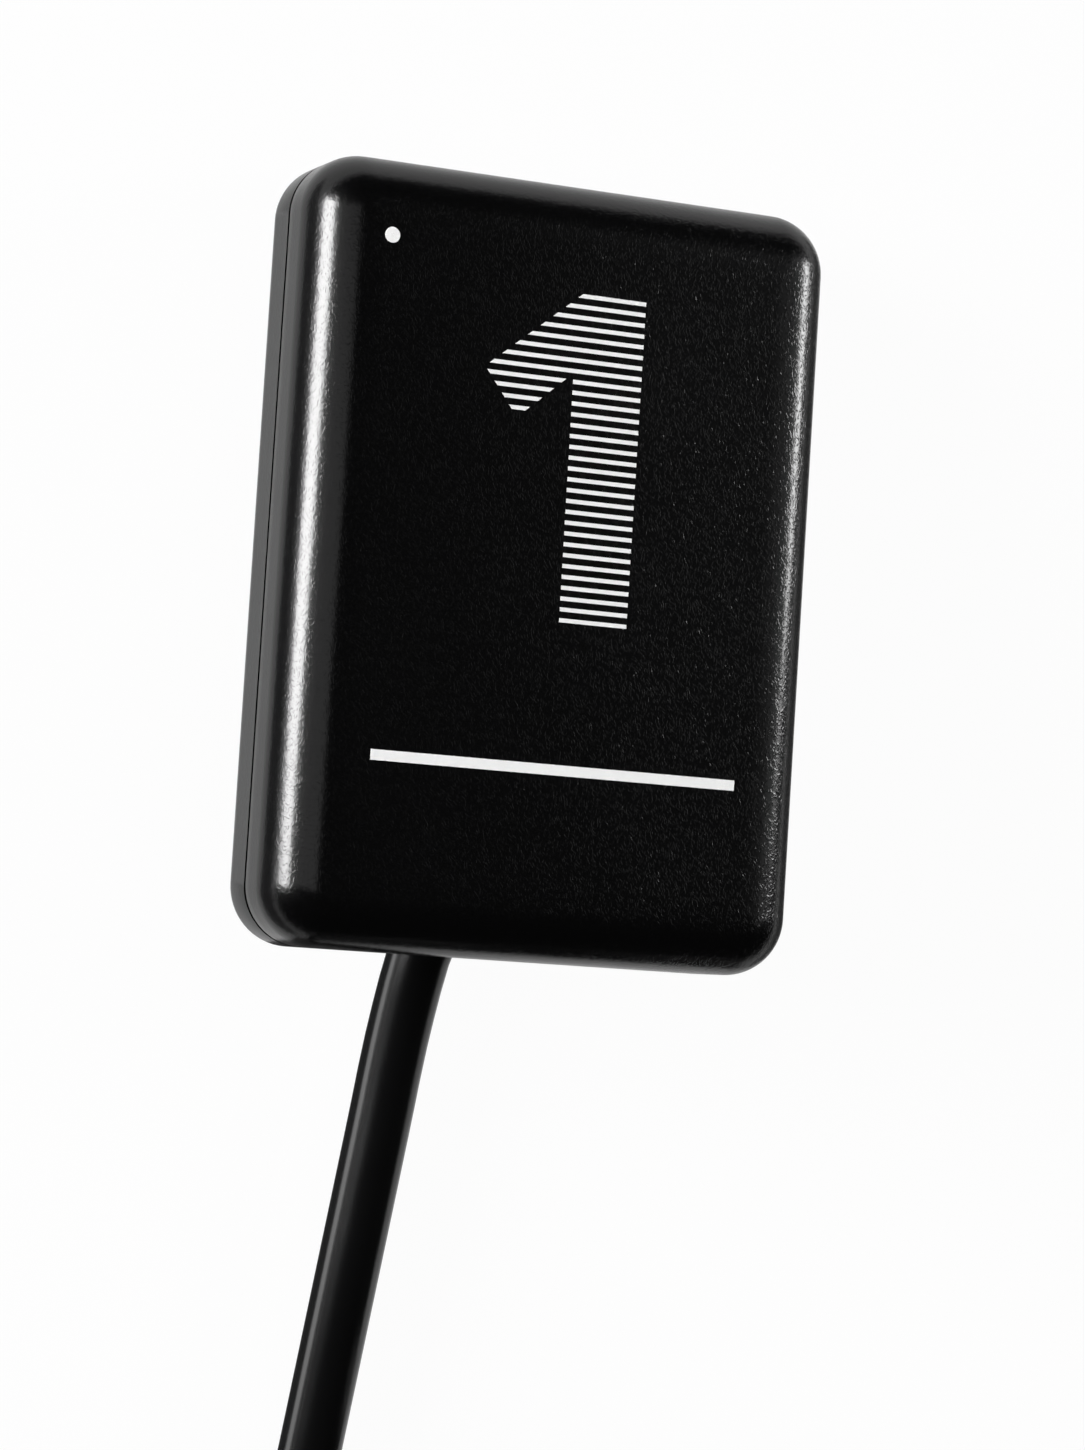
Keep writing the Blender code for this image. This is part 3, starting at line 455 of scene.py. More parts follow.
def joinRings(mesh, rings, place, closed=False):
    # rings of points are joined one to the next, and capped unless the last joins the first
    rows = [[mesh.verts.new(place @ Vector(point)) for point in ring] for ring in rings]
    pairs = list(zip(rows, rows[1:]))
    if closed:
        pairs.append((rows[-1], rows[0]))
    else:
        mesh.faces.new(rows[0])
        mesh.faces.new(rows[-1])
    for low, high in pairs:
        for i in range(len(low)):
            j = (i + 1) % len(low)
            mesh.faces.new((low[i], low[j], high[j], high[i]))


def meshObject(name, mesh, sharp=35):
    bmesh.ops.recalc_face_normals(mesh, faces=mesh.faces)
    data = bpy.data.meshes.new(name)
    mesh.to_mesh(data)
    mesh.free()
    data.shade_smooth()
    data.set_sharp_from_angle(angle=math.radians(sharp))
    made = bpy.data.objects.new(name, data)
    scene.collection.objects.link(made)
    return made


def makeMesh(name, rings, place, closed=False, sharp=35):
    mesh = bmesh.new()
    joinRings(mesh, rings, place, closed)
    return meshObject(name, mesh, sharp)


def settle(piece, modifier, **settings):
    # adds a modifier and keeps its result
    added = piece.modifiers.new(modifier.lower(), modifier)
    for setting, value in settings.items():
        setattr(added, setting, value)
    graph = bpy.context.evaluated_depsgraph_get()
    result = bpy.data.meshes.new_from_object(piece.evaluated_get(graph), depsgraph=graph)
    piece.modifiers.clear()
    piece.data = result


def combine(piece, other, operation):
    settle(piece, "BOOLEAN", operation=operation, solver="EXACT", object=other)
    bpy.data.objects.remove(other)


def soften(piece):
    # flat faces keep their own direction, and only the rounds between them shade
    piece.data.shade_smooth()
    piece.data.set_sharp_from_angle(angle=math.radians(30))
    settle(piece, "WEIGHTED_NORMAL", keep_sharp=True, weight=90)


def dress(piece, finish, slot, *nodes):
    piece.data.materials.clear()
    piece.data.materials.append(finishes[finish])
    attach(piece, "root")
    if nodes:
        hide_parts(*nodes)
    return piece


# Cable: out of the strain relief, along the table, round the coil and up to the plug
cable = {
    "diameter": 3.2,
    "length": 1800.0,
    "spacing": 1.4,  # of the points along the drawn cable
    "routeOut": [  # from the strain relief to the coil
        (0.0, -11.1, 2.7),
        (0.0, -12.6, 2.7),
        (-0.04, -14.1, 2.69),
        (-0.24, -15.9, 2.58),
        (-0.66, -18.0, 2.32),
        (-1.14, -20.4, 2.02),
        (-1.5, -24.6, 1.68),
        (-1.78, -29.2, 1.6),
        (-2.36, -37.4, 1.6),
        (-2.96, -45.8, 1.6),
        (-3.42, -52.0, 1.6),
        (-3.74, -56.6, 1.6),
        (-4.0, -61.0, 1.6),
        (-4.35, -65.5, 1.6),
    ],
    "routeTail": [  # from the coil's top to the plug
        (23.08, -50.45, 14.9),
        (17.07, -51.11, 15.3),
        (11.93, -54.29, 16.2),
        (8.66, -59.37, 17.0),
        (7.3, -63.1, 17.1),
        (5.4, -68.3, 17.1),
        (3.9, -72.4, 17.1),
    ],
}
coil = {
    "centre": (17.2, -71.0),
    "middle": 17.0,  # radius at the middle of the turns
    "turns": 4,  # side by side, and as many layers
    "start": 176,  # degrees where the cable comes in
    "crossing": 90,  # degrees over which a turn moves over to the next
    "end": 58,  # degrees where the cable leaves the top
    "endRise": 0.35,
    "step": 4,  # degrees between the points of its route
}
tie = {
    "angle": 330,  # degrees round the coil
    "width": 5.0,
    "thickness": 0.5,
    "gap": 0.3,
    "margin": 3,  # degrees past the strap's edge where it still presses the turns together,
    "ease": 24,  # and degrees over which they spread again
    "corner": 1.6,
    "thin": 0.12,  # taken off each face at the very edge
    "welt": (0.05, 0.84, 0.07),  # the woven edge: height, then place and width in shares of half the strap
}


def squeeze(degrees):
    # how far the tie presses the turns together at an angle
    away = abs((degrees - tie["angle"] + 180) % 360 - 180)
    flat = math.degrees(tie["width"] / 2 / coil["middle"]) + tie["margin"]
    return (tie["thickness"] + tie["gap"]) * (1 - eased((away - flat) / tie["ease"]))


def coilPoint(degrees, radius, height):
    half = coil["turns"] * cable["diameter"] / 2
    onTop = eased((height - 2 * half) / cable["diameter"] + 0.5)  # the last stretch passes over the tie
    keep = 1 - squeeze(degrees) / half * (1 - onTop)
    reach = coil["middle"] + (radius - coil["middle"]) * keep
    x = coil["centre"][0] + reach * math.cos(math.radians(degrees))
    y = coil["centre"][1] + reach * math.sin(math.radians(degrees))
    return (x, y, half + (height - half) * keep)


def coilRoute():
    # the lowest layer winds inwards, the next outwards, and so on
    d, turns, cross = cable["diameter"], coil["turns"], coil["crossing"]
    moves = []  # end of a move in degrees from the start, change of radius, change of height
    for layer in range(turns):
        for turn in range(turns):
            # each move starts a little before the one under it
            end = 360 * (turns * layer + turn + 1) - 2 * cross // 3 * layer
            if turn < turns - 1:
                moves.append((end, d if layer % 2 else -d, 0.0))
            else:
                moves.append((end - cross // 3, 0.0, d))
    last = moves[-1][0]
    total = last + (coil["end"] - coil["start"] - last) % 360
    moves.append((total, 0.0, coil["endRise"]))
    points = []
    for degrees in range(0, total + 1, coil["step"]):
        radius = coil["middle"] + (turns - 1) / 2 * d
        height = d / 2
        for end, wider, higher in moves:
            share = eased((degrees - end + cross) / cross)
            radius += wider * share
            height += higher * share
        points.append(coilPoint(coil["start"] + degrees, radius, height))
    return points


def curvePoint(corners, t):
    # a point on the smooth curve through four corners, between the second and the third
    place = []
    for p, q, r, s in zip(*corners):
        square = 2 * p - 5 * q + 4 * r - s
        cube = 3 * q - p - 3 * r + s
        place.append((2 * q + (r - p) * t + square * t**2 + cube * t**3) / 2)
    return Vector(place)


def smoothRoute(points, spacing):
    # even steps along a curve through the points
    ends = [points[0], *points, points[-1]]
    parts = 12  # of the curve between two points
    fine = []
    for corners in zip(ends, ends[1:], ends[2:], ends[3:]):
        fine += [curvePoint(corners, part / parts) for part in range(parts)]
    fine.append(Vector(points[-1]))
    route = [fine[0]]
    along = 0.0
    for a, b in zip(fine, fine[1:]):
        along += (b - a).length
        if along >= spacing:
            route.append(b)
            along = 0.0
    if along:
        route.append(fine[-1])
    return route


def makeCable():
    points = cable["routeOut"] + coilRoute() + cable["routeTail"]
    route = smoothRoute(points, cable["spacing"])
    curve = bpy.data.curves.new("cable", "CURVE")
    curve.dimensions = "3D"
    spline = curve.splines.new("POLY")
    spline.points.add(len(route) - 1)
    for point, place in zip(spline.points, route):
        point.co = (*(place * mm), 1.0)
    spline.use_smooth = True
    curve.bevel_depth = cable["diameter"] / 2 * mm
    curve.bevel_resolution = 6
    curve.use_fill_caps = True
    made = bpy.data.objects.new("cable", curve)
    scene.collection.objects.link(made)
    length = sum((b - a).length for a, b in zip(route, route[1:]))
    print("cable of", len(route), "points,", round(length), "mm")
    return dress(made, "cableJacket", "cable_jacket", "cord_tube", "cord_coil", "cord_tail")


cablePiece = makeCable()


def tieOutline(degrees, offset, corner):
    # outline of the bundle at an angle, moved outwards
    size = coil["turns"] * cable["diameter"]
    spread = 2 * (offset - squeeze(degrees))
    angle = math.radians(degrees)
    ring = []
    for r, z in roundedOutline(size + spread, size + spread, corner, 8):
        reach = coil["middle"] + r
        x = coil["centre"][0] + reach * math.cos(angle)
        y = coil["centre"][1] + reach * math.sin(angle)
        ring.append((x, y, size / 2 + z))
    return ring


def makeTie():
    spread = math.degrees(tie["width"] / 2 / coil["middle"])
    weltHeight, weltPlace, weltWidth = tie["welt"]
    inside = []
    outside = []
    for place in (-1.0, -0.92, -0.75, -0.5, -0.25, 0.0, 0.25, 0.5, 0.75, 0.92, 1.0):
        degrees = tie["angle"] + spread * place
        thin = tie["thin"] * abs(place) ** 12
        welt = weltHeight * math.exp(-(((abs(place) - weltPlace) / weltWidth) ** 2))
        inside.append(tieOutline(degrees, tie["gap"] + thin, tie["corner"]))
        outer = tie["gap"] + tie["thickness"] - weltHeight - thin + welt
        outside.append(tieOutline(degrees, outer, tie["corner"] + tie["thickness"]))
    made = makeMesh("tie", inside + outside[::-1], metres, closed=True, sharp=60)
    return dress(made, "strap", "strap", "cord_tie")


tiePiece = makeTie()


# Front shell
seam = {"height": 3.22, "gap": 0.235, "break": 0.012}  # the fine groove between the two shells
lip = {"rim": 0.5, "height": 0.9, "gap": 0.2, "parting": 3.25}  # the front shell seats over it
faceBend = {"reach": 1.1, "angle": 4}  # the face bends gently before its round begins


def makeFrontShell():
    top, big = head["thickness"], head["faceRound"]
    start = math.radians(faceBend["angle"])
    drop = faceBend["reach"] * math.tan(start) / 2
    edge = big * (1 - math.sin(start))
    rings = []
    for step in range(9):
        rings.append(headRing(edge + faceBend["reach"] * (1 - step / 8), top - drop * (step / 8) ** 2))
    high = top - drop + big * (1 - math.cos(start))
    for step in range(1, 29):
        angle = start + (math.pi / 2 - start) * step / 28
        rings.append(headRing(big * (1 - math.sin(angle)), high - big * (1 - math.cos(angle))))
    low = seam["height"] + seam["gap"] / 2
    rings.append(headRing(0.0, low + 0.5))
    for left, gone in quarterRound(4):
        rings.append(headRing(seam["break"] * gone, low + seam["break"] * left))
    shelf = lip["parting"] + lip["height"] + lip["gap"]
    rings += [headRing(lip["rim"], low), headRing(lip["rim"], shelf), headRing(head["sideWall"], shelf)]
    across, deep = big - head["sideWall"], big - head["frontWall"]
    for left, gone in quarterRound(6):
        rings.append(headRing(head["sideWall"] + across * gone, top - head["frontWall"] - deep * left))
    made = makeMesh("frontShell", rings, onHead, sharp=40)
    dress(made, "housing", "black_housing", "front_shell")


makeFrontShell()
print("front shell made")

# Rear shell, with the hump that leads the cable out
hump = {
    "length": 17.0,  # along the head
    "rise": 10.0,  # length over which its crest comes up
    "end": 8.0,  # length over which its sides close in
    "fillet": 1.2,  # where it meets the back
    "skin": 0.03,  # how far its foot starts inside the back
    "stations": 44,
    "bore": 2.1,
    "rib": (1.65, 0.9),  # in the bore, radius and length
    "mouth": 1.6,  # from the end face to the rib
    "mouthEdge": 0.15,
    "chamber": 7.0,  # depth of the bore, with the wires in it
    "well": (3.8, 5.0, 0.8),  # from the bore to the board: width, length and corner
}
posts = {"places": (10.15, 15.25), "radius": 1.0, "foot": 1.15, "top": 2.65}  # they carry the board


def humpSection(plan, dome, crest):
    half, flare = head["snout"] * plan, hump["fillet"] * plan
    fillet = min(hump["fillet"], crest / 2)
    dome = min(dome, crest - fillet)
    side = [(half + flare, head["backWall"] / 2)]
    side += [(half + flare * left, hump["skin"] - fillet * gone) for left, gone in quarterRound(8)]
    points = list(side)
    for step in range(1, 24):
        angle = math.pi * step / 24
        points.append((half * math.cos(angle), dome - crest - dome * math.sin(angle)))
    return points + [(-x, z) for x, z in reversed(side)]


def makeHump():
    exitY, exitZ = head["exit"]
    rings = []
    for station in range(hump["stations"] + 1):
        along = hump["length"] * (station / hump["stations"]) ** 1.5
        y = exitY + hump["length"] - along
        depth = -exitZ - (y - exitY) * math.tan(tilt)
        lean = tilt * eased((along - hump["rise"]) / (hump["length"] - hump["rise"]))
        dome = head["snout"] * math.cos(lean) / math.cos(tilt - lean)
        crest = (depth + dome) * eased(along / hump["rise"])
        plan = math.sqrt(1 - (1 - min(max(along / hump["end"], 0.02), 1.0)) ** 2)
        section = humpSection(plan, dome, crest)
        rings.append([(x, y - (z + depth) * math.tan(lean), z) for x, z in section])
    return makeMesh("humpPart", rings, onHead)


def makeRearShell():
    small, wall, back = head["backRound"], head["sideWall"], head["backWall"]
    rings = [headRing(small * left, small * gone) for left, gone in quarterRound(16)]
    high = seam["height"] - seam["gap"] / 2
    rings += [headRing(seam["break"] * gone, high - seam["break"] * left) for left, gone in quarterRound(4)]
    lipOutside, lipTop = lip["rim"] + lip["gap"], lip["parting"] + lip["height"]
    rings += [headRing(lipOutside, high), headRing(lipOutside, lipTop), headRing(wall, lipTop)]
    for left, gone in quarterRound(6):
        rings.append(headRing(wall + (small - wall) * gone, back + (small - back) * left))
    shell = makeMesh("rearShell", rings, onHead)

    profile = [(posts["foot"], back / 2), (posts["foot"], back), (posts["radius"], posts["top"])]
    for sx, sy in ((1, 1), (-1, 1), (-1, -1), (1, -1)):
        place = onHead @ Matrix.Translation((sx * posts["places"][0], sy * posts["places"][1], 0))
        combine(shell, makeMesh("postPart", turnedRings(profile, 20), place), "UNION")
    combine(shell, makeHump(), "UNION")

    bore, mouth, edge = hump["bore"], hump["mouth"], hump["mouthEdge"]
    rib, ribLength = hump["rib"]
    ribBack = -(mouth + ribLength)
    profile = [(bore, -hump["chamber"]), (bore, ribBack), (rib, ribBack), (rib, -mouth), (bore, -mouth)]
    profile += [(bore, -edge), (bore + edge, 0.0), (bore + edge, 1.0)]
    combine(shell, makeMesh("borePart", turnedRings(profile, 48), onCable), "DIFFERENCE")
    width, length, corner = hump["well"]
    middle = head["exit"][0] + hump["chamber"] - length / 2
    outline = roundedOutline(width, length, corner, 6)
    rings = [[(x, middle + y, z) for x, y in outline] for z in (head["exit"][1] / 2, back + 0.5)]
    combine(shell, makeMesh("wellPart", rings, onHead), "DIFFERENCE")
    soften(shell)
    dress(shell, "housing", "black_housing", "rear_shell")


makeRearShell()
print("rear shell made")

# Strain relief: a sleeve that grips the hump's rib, with a nose round the cable
relief = {
    "radius": 1.9,  # in the bore
    "neck": 1.45,  # in the rib
    "heel": 1.0,  # length behind the rib
    "hole": 0.88,  # for the wires
    "socket": 1.8,  # for the cable
    "socketFloor": 0.8,
    "flange": 2.5,
    "tip": 2.1,
    "noseStart": 1.1,
    "noseEnd": 3.8,
    "edge": 0.1,
    "gap": 0.2,
}


def makeRelief():
    radius, flange, tip, edge, gap = (relief[key] for key in ("radius", "flange", "tip", "edge", "gap"))
    start, end, floor = relief["noseStart"], relief["noseEnd"], relief["socketFloor"]
    ribFront = gap - hump["mouth"]
    ribBack = -(hump["mouth"] + hump["rib"][1]) - gap
    heel = ribBack - relief["heel"]
    profile = [(radius, heel), (radius, ribBack), (relief["neck"], ribBack), (relief["neck"], ribFront)]
    profile += [(radius, ribFront), (radius, gap), (flange - edge, gap), (flange, gap + edge)]
    for step in range(13):
        share = step / 12
        profile.append((tip + (flange - tip) * (1 - share) ** 2, start + (end - edge - start) * share))
    profile += [(tip - edge, end), (relief["socket"], end), (relief["socket"], floor)]
    profile += [(relief["hole"], floor), (relief["hole"], heel)]
    made = makeMesh("strainRelief", turnedRings(profile, 48), onCable, closed=True)
    dress(made, "reliefRubber", "relief_rubber", "strain_relief")


makeRelief()

# White print on the face
printed = {
    "dot": (-10.0, 14.85, 0.38),  # middle and radius
    "bar": (-9.42, 9.62, -9.93, -9.42),  # left, right, low and high
    "numeral": [  # outline of the 1, from the top left of its stem to the tip of its flag
        (0.0, 13.27),
        (3.35, 13.27),
        (3.35, -2.6),
        (-0.2, -2.6),
        (-0.25, 9.41),
        (-2.73, 7.25),
        (-3.25, 7.2),
        (-4.85, 9.24),
    ],
    "stripes": 31,
    "stripe": 0.2,  # height of each
    "film": 0.012,  # thickness of the ink above the face
}


def stripeQuads(outline, low, high):
    # the parts of a flat band that lie inside an outline
    middle = (low + high) / 2
    sides = []
    for (x1, y1), (x2, y2) in zip(outline, outline[1:] + outline[:1]):
        if (y1 - middle) * (y2 - middle) < 0:
            sides.append([x1 + (x2 - x1) * (y - y1) / (y2 - y1) for y in (low, middle, high)])
    sides.sort(key=lambda side: side[1])
    return [[(a[0], low), (b[0], low), (b[2], high), (a[2], high)] for a, b in zip(sides[::2], sides[1::2])]


def numeralStripes():
    outline, stripe = printed["numeral"], printed["stripe"]
    top, bottom = outline[0][1], outline[2][1]
    pitch = (top - bottom - stripe) / (printed["stripes"] - 1)
    quads = []
    for number in range(printed["stripes"]):
        high = top - number * pitch
        quads += stripeQuads(outline, high - stripe, high)
    return quads


def makePrint():
    x, y, radius = printed["dot"]
    turn = [2 * math.pi * step / 48 for step in range(48)]
    left, right, low, high = printed["bar"]
    shapes = {
        "printDot": [[(x + radius * math.cos(a), y + radius * math.sin(a)) for a in turn]],
        "printBar": [[(left, low), (right, low), (right, high), (left, high)]],
        "printNumeral": numeralStripes(),
    }
    face, film = head["thickness"], printed["film"]
    for name, outlines in shapes.items():
        mesh = bmesh.new()
        for outline in outlines:
            joinRings(mesh, [[(px, py, z) for px, py in outline] for z in (face - film, face + film)], onHead)
        dress(meshObject(name, mesh), "ink", None)


makePrint()
print("print made")

# Plug at the cable's far end
plug = {
    "heading": 250,  # degrees that it points to
    "offset": 12.0,  # of its axis from the coil's centre
    "length": 24.0,
    "width": 15.4,
    "height": 8.0,
    "round": 2.2,
    "taper": 5.0,  # length over which it widens from the cable's end
    "endWidth": 10.4,
    "endHeight": 6.4,
    "endRound": 0.3,
    "frontRound": 0.8,
    "grooves": 5,
    "groovePitch": 2.0,
    "grooveDepth": 0.4,
    "grooveWidth": 1.28,
    "grooveStart": 7.0,
    "pocket": 6.8,  # depth of the opening round the metal shell
    "passage": (2.5, 3.2, 1.8),  # radius and depth for the boot's spigot, and the wires' radius
    "gap": 0.3,
}
boot = {
    "length": 8.0,
    "inner": 1.8,
    "tip": 0.5,  # thickness of its wall at the tip
    "wall": 1.0,  # and at the plug
    "edge": 0.12,
    "spigot": 3.0,  # length inside the plug
    "spigotWall": 0.5,
    "gap": 0.2,
    "grooves": 3,
    "grooveWidth": 0.7,
    "grooveDepth": 0.3,
}
metal = {
    "width": 12.0,
    "height": 4.5,
    "wall": 0.3,
    "inside": 6.5,
    "outside": 11.5,
    "round": 0.6,
    "seam": (0.08, 0.12),  # width and depth
}
windows = {"side": 2.2, "corner": 0.2, "spacing": 5.0, "fromTip": 5.2}


def plugPlace():
    foot = math.radians(plug["heading"] - 90)
    x = coil["centre"][0] + plug["offset"] * math.cos(foot)
    y = coil["centre"][1] + plug["offset"] * math.sin(foot)
    z = coil["turns"] * cable["diameter"] + plug["gap"] + plug["height"] / 2
    return metres @ Matrix.Translation((x, y, z)) @ Matrix.Rotation(math.radians(plug["heading"]), 4, "Z")


onPlug = plugPlace()
alongPlug = onPlug @ Matrix.Rotation(math.pi / 2, 4, "Y")


def makePlugBody():
    length, width, height, corner = (plug[key] for key in ("length", "width", "height", "round"))
    endWidth, endHeight, endRound = plug["endWidth"], plug["endHeight"], plug["endRound"]
    rings = []
    for left, gone in quarterRound(3):
        less = 2 * endRound * left
        rings.append(acrossPlug(endRound * gone, endWidth - less, endHeight - less, corner))
    for step in range(1, 13):
        share = (step / 12) ** 1.5
        fill = math.sin(math.pi / 2 * share)
        wide = endWidth + (width - endWidth) * fill
        high = endHeight + (height - endHeight) * fill
        rings.append(acrossPlug(endRound + (plug["taper"] - endRound) * share, wide, high, corner))
    for groove in range(plug["grooves"]):
        middle = plug["grooveStart"] + groove * plug["groovePitch"]
        for step in range(9):
            share = step / 4 - 1
            deep = plug["grooveDepth"] * (1 - eased(abs(share)))
            along = middle + share * plug["grooveWidth"] / 2
            rings.append(acrossPlug(along, width - 2 * deep, height - 2 * deep, corner))
    for left, gone in quarterRound(6):
        less = 2 * plug["frontRound"] * gone
        rings.append(acrossPlug(length - plug["frontRound"] * left, width - less, height - less, corner))
    made = makeMesh("plugBody", rings, onPlug)
    fit = 2 * plug["gap"]
    start = length - plug["pocket"]
    wide, high, corner = metal["width"] + fit, metal["height"] + fit, metal["round"] + plug["gap"]
    pocket = [acrossPlug(x, wide, high, corner) for x in (start, length + fit)]
    combine(made, makeMesh("pocketPart", pocket, onPlug), "DIFFERENCE")
    spigot, depth, wires = plug["passage"]
    profile = [(spigot, -fit), (spigot, depth), (wires, depth), (wires, start + fit)]
    combine(made, makeMesh("passagePart", turnedRings(profile, 40), alongPlug), "DIFFERENCE")
    soften(made)
    return dress(made, "housing", "black_housing", "plug_body")


def makePlugBoot():
    inner, tip, wall, length = (boot[key] for key in ("inner", "tip", "wall", "length"))
    edge, gap, spigot = boot["edge"], boot["gap"], inner + boot["spigotWall"]
    half = boot["grooveWidth"] / 2
    profile = [(inner, -length), (inner + tip - edge, -length), (inner + tip, -length + edge)]
    for number in range(1, boot["grooves"] + 1):
        share = number / (boot["grooves"] + 1)
        middle = -length * (1 - share)
        radius = inner + tip + (wall - tip) * share
        groove = [(radius, half + 0.08), (radius - 0.08, half), (radius - boot["grooveDepth"], half - 0.1)]
        profile += [(r, middle - away) for r, away in groove]
        profile += [(r, middle + away) for r, away in reversed(groove)]
    profile += [(inner + wall, -gap - 0.1), (inner + wall - 0.1, -gap), (spigot, -gap)]
    profile += [(spigot, boot["spigot"]), (inner, boot["spigot"])]
    made = makeMesh("plugBoot", turnedRings(profile, 48), alongPlug, closed=True)
    return dress(made, "reliefRubber", "relief_rubber", "plug_boot")


def makePlugShell():
    back, tip = plug["length"] - metal["inside"], plug["length"] + metal["outside"]
    width, height, wall, corner = (metal[key] for key in ("width", "height", "wall", "round"))
    flare = wall / 2
    rings = [
        acrossPlug(back, width, height, corner),
        acrossPlug(tip - 2 * flare, width, height, corner),
        acrossPlug(tip - flare, width - 0.06, height - 0.06, corner),
        acrossPlug(tip, width - flare, height - flare, corner),
        acrossPlug(tip, width - 2 * wall + flare, height - 2 * wall + flare, corner - wall),
        acrossPlug(tip - flare, width - 2 * wall, height - 2 * wall, corner - wall),
        acrossPlug(back, width - 2 * wall, height - 2 * wall, corner - wall),
    ]
    made = makeMesh("plugShell", rings, onPlug, closed=True)
    outline = roundedOutline(windows["side"], windows["side"], windows["corner"], 4)
    for side in (-1, 1):
        x, y = tip - windows["fromTip"], side * windows["spacing"] / 2
        rings = [[(x + a, y + b, z) for a, b in outline] for z in (-height, height)]
        combine(made, makeMesh("windowPart", rings, onPlug), "DIFFERENCE")
    # the folded sheet's two edges meet in a fine seam along the underside
    seamWidth, seamDepth = metal["seam"]
    half, low, high = seamWidth / 2, -height / 2 - 0.1, -height / 2 + seamDepth
    across = ((-half, low), (half, low), (half, high), (-half, high))
    rings = [[(x, y, z) for y, z in across] for x in (back - 1, tip + 1)]
    combine(made, makeMesh("seamPart", rings, onPlug), "DIFFERENCE")
    soften(made)
    return dress(made, "steel", "plug_steel", "plug_shell")


plugPieces = [makePlugBody(), makePlugBoot(), makePlugShell()]
print("plug made")

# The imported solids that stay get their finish
keptFinishes = {
    "scintillator_plate": "phosphor",
    "fibre_optic_plate": "fibrePlate",
    "imager_chip": "silicon",
    "carrier_board": "board",
    "wire_socket": "socketWhite",
    "controller_chip": "chipResin",
    "converter_chip": "chipResin",
    "regulator_chip": "chipResin",
    "clock_crystal": "crystalCan",
    "upper_cushion": "greyFoam",
    "lower_cushion": "greyFoam",
    "wire_red": "wireRed",
    "wire_white": "wireWhite",
    "wire_green": "wireGreen",
    "wire_black": "wireBlack",
    "plug_carrier": "carrierWhite",
}
keptFinishes.update({f"capacitor_{number}": "capacitor" for number in range(1, 7)})
keptFinishes.update({f"plug_contact_{number}": "contactGold" for number in range(1, 5)})
for name, finish in keptFinishes.items():
    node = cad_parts[name]
    for place in node.material_slots:
        place.material = finishes[finish]
print("finishes given to", len(keptFinishes), "nodes")

plugPieces += [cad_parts["plug_carrier"]]
plugPieces += [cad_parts[f"plug_contact_{number}"] for number in range(1, 5)]

# Floor, cards, world and lamps
studio = {
    "floorRadius": 3.0,
    "floorBelow": 0.03,  # millimetres below the object
    "floorColour": (0.78, 0.78, 0.78),
    "floorWhite": 0.96,  # share of the floor that shows as plain white
    "floorShine": 0.3,  # the same share in reflections
    "cardHeight": 0.1,
    "horizon": 0.75,
    "dark": 0.017,
    "darkFrom": 0.13,  # sine of the height above which all is dark
}
# dark cards seen in reflections alone, a painted reflection: the right card and the cable's card paint the
# floor's shade beside the head and under the cable, the left card a darker floor beside the head's left side
cards = {
    # colour, and corners on the table
    "leftCard": (
        0.13,
        [(-19, 26), (-27, -16), (-23, -34), (-16, -60), (-16, -110), (-110, -110), (-110, 26)],
    ),
    "rightCard": (0.18, [(20, 26), (90, 26), (90, -45), (30, -45), (26, -20)]),
    "cableCard": (
        0.10,
        [(0, -15), (-1.2, -22), (-1.8, -29), (-3, -46), (-4.2, -64), (-15, -64), (-9, -22), (-5, -15)],
    ),
}
lamps = {
    # round from +X and above the table in degrees, distance, width and length in metres, brightness;
    # where it differs from the rest: the direction of its length, the point in millimetres that it faces,
    # how wide its light spreads in degrees, and whether reflections show it
    "stripLamp": {"round": 166, "above": 17.5, "away": 0.50, "size": (0.250, 0.215), "level": 25.5},
    "overheadPanel": {
        "round": 151,
        "above": 57,
        "away": 0.60,
        "size": (0.240, 0.600),
        "level": 0.62,
        "along": (-0.86, 0.0, -0.51),
    },
    "sideLamp": {"round": 19, "above": 21, "away": 0.60, "size": (0.168, 0.137), "level": 18.0},
    "sideGlow": {"round": 24, "above": 42, "away": 0.70, "size": (0.380, 0.260), "level": 0.42},
    "cableLamp": {
        "round": 176,
        "above": -11,
        "away": 0.0045,
        "size": (0.045, 0.0018),
        "level": 0.95,
        "aim": (-2.6, -41, 1.6),
        "spread": 90,
    },
    "softFill": {
        "round": 60,
        "above": 82,
        "away": 1.20,
        "size": (1.300, 1.300),
        "level": 0.62,
        "shines": False,
    },
}


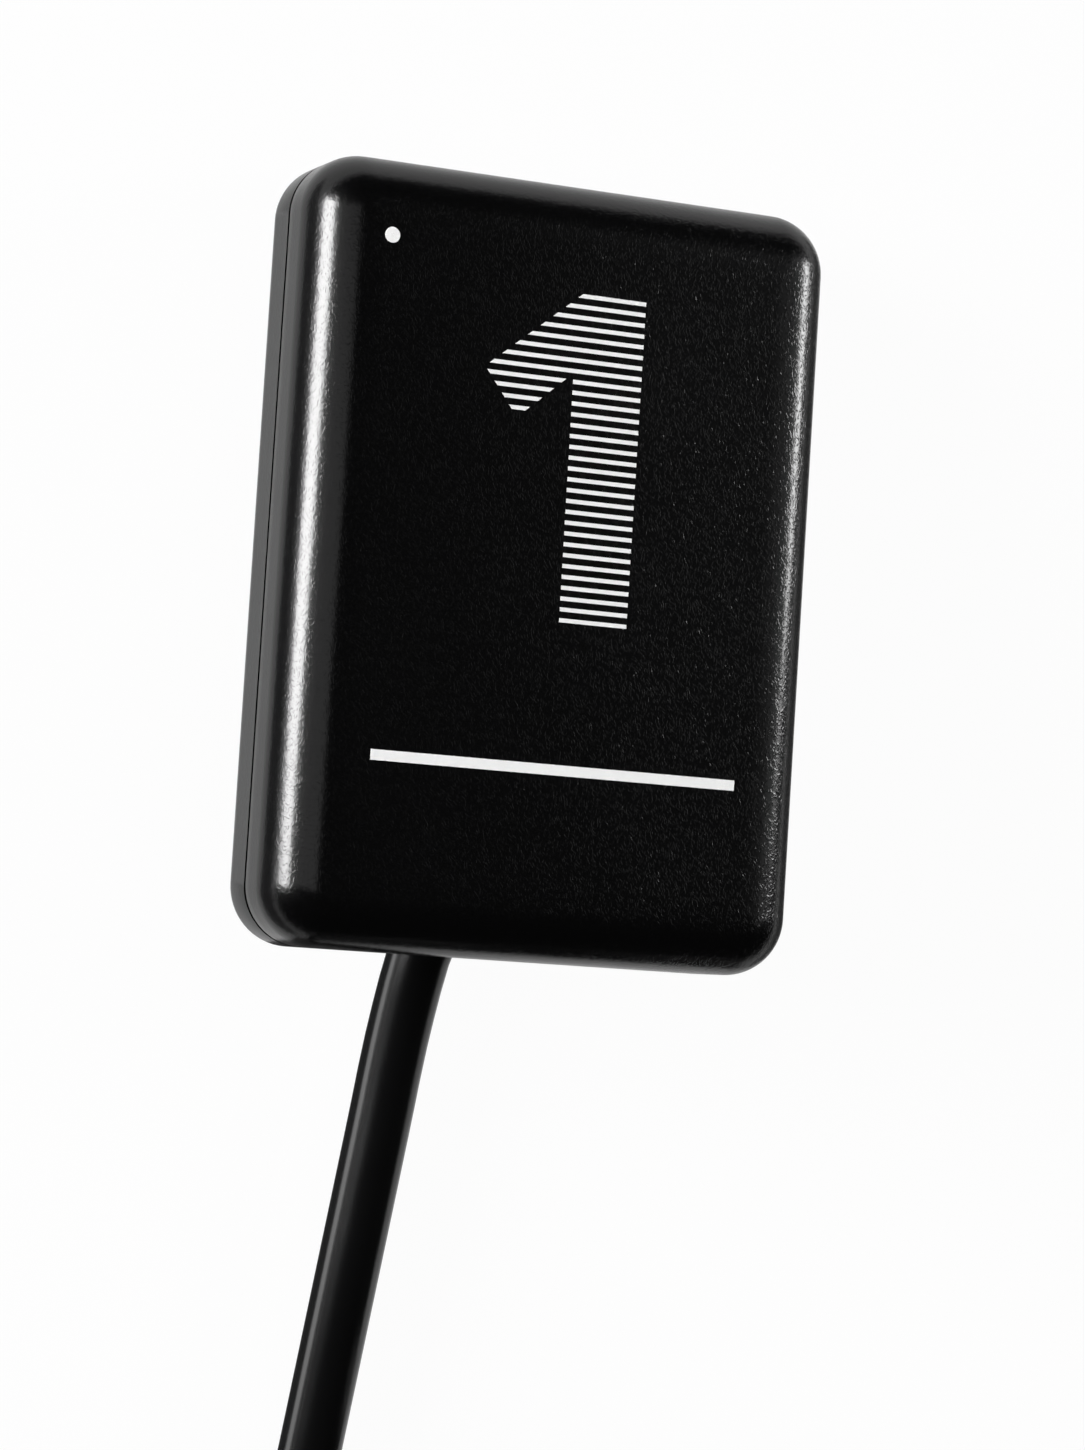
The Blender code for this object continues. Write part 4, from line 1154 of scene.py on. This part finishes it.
def makeFloor():
    mesh = bmesh.new()
    bmesh.ops.create_circle(mesh, cap_ends=True, segments=96, radius=studio["floorRadius"])
    made = meshObject("floor", mesh)
    made.location.z = -studio["floorBelow"] * mm
    finish = Finish("floorPaint", Base_Color=studio["floorColour"], Roughness=0.9, Specular_IOR_Level=0.0)
    kinds = ("Camera", "Glossy", "Transmission")
    seen, glossy, through = (finish.node("ShaderNodeLightPath", {}, {}, f"Is {kind} Ray") for kind in kinds)
    plain = finish.node("ShaderNodeEmission", {}, {"Color": (1.0, 1.0, 1.0), "Strength": 1.0})
    lit = Value(finish, finish.surface.outputs[0])
    share = seen * studio["floorWhite"] + (glossy + through) * studio["floorShine"]
    mixed = finish.node("ShaderNodeMixShader", {}, {0: share, 1: lit, 2: plain})
    finish.give(finish.tree.nodes["Material Output"].inputs["Surface"], mixed)
    made.data.materials.append(finish.material)


def makeCard(name, colour, corners):
    # a flat dark card beside the head, seen in reflections alone: it paints a darker floor into the object's
    # reflections (painted reflection, partly painted shade), and so draws the edges of a black object
    mesh = bmesh.new()
    mesh.faces.new([mesh.verts.new((x * mm, y * mm, studio["cardHeight"] * mm)) for x, y in corners])
    made = meshObject(name, mesh)
    finish = Finish(name, Base_Color=(colour,) * 3, Roughness=0.9, Specular_IOR_Level=0.0)
    made.data.materials.append(finish.material)
    made.visible_camera = False
    made.visible_diffuse = False
    made.visible_shadow = False


def makeWorld():
    # a pale horizon and a dark ceiling
    world = bpy.data.worlds.new("studio")
    scene.world = world
    finish = Finish("studio", world)
    sky = finish.node("ShaderNodeTexCoord", {}, {}, "Generated")
    height = finish.node("ShaderNodeSeparateXYZ", {}, {"Vector": sky}, "Z")
    level = finish.range(height, 0.0, studio["darkFrom"], (studio["horizon"], studio["dark"]))
    grey = finish.node("ShaderNodeCombineColor", {}, {0: level, 1: level, 2: level})
    finish.give(finish.tree.nodes["Background"].inputs["Color"], grey)


def makeLamp(name, facts):
    around, above = math.radians(facts["round"]), math.radians(facts["above"])
    level = math.cos(above)
    outward = Vector((math.cos(around) * level, math.sin(around) * level, math.sin(above)))
    lamp = bpy.data.lights.new(name, "AREA")
    lamp.shape = "RECTANGLE"
    lamp.size, lamp.size_y = facts["size"]
    lamp.energy = facts["level"] * math.pi * lamp.size * lamp.size_y
    lamp.spread = math.radians(facts.get("spread", 180))
    made = bpy.data.objects.new(name, lamp)
    across = Vector(facts.get("along", (0, 0, 1))).cross(outward).normalized()
    turn = Matrix((across, outward.cross(across), outward)).transposed()
    aim = Vector(facts.get("aim", (0, 0, 0))) * mm
    made.matrix_world = Matrix.Translation(aim + outward * facts["away"]) @ turn.to_4x4()
    made.visible_camera = False
    made.visible_glossy = facts.get("shines", True)
    scene.collection.objects.link(made)


makeFloor()
for name, facts in cards.items():
    makeCard(name, *facts)
makeWorld()
for name, facts in lamps.items():
    makeLamp(name, facts)
scene.view_settings.view_transform = "Standard"
print("studio lit")
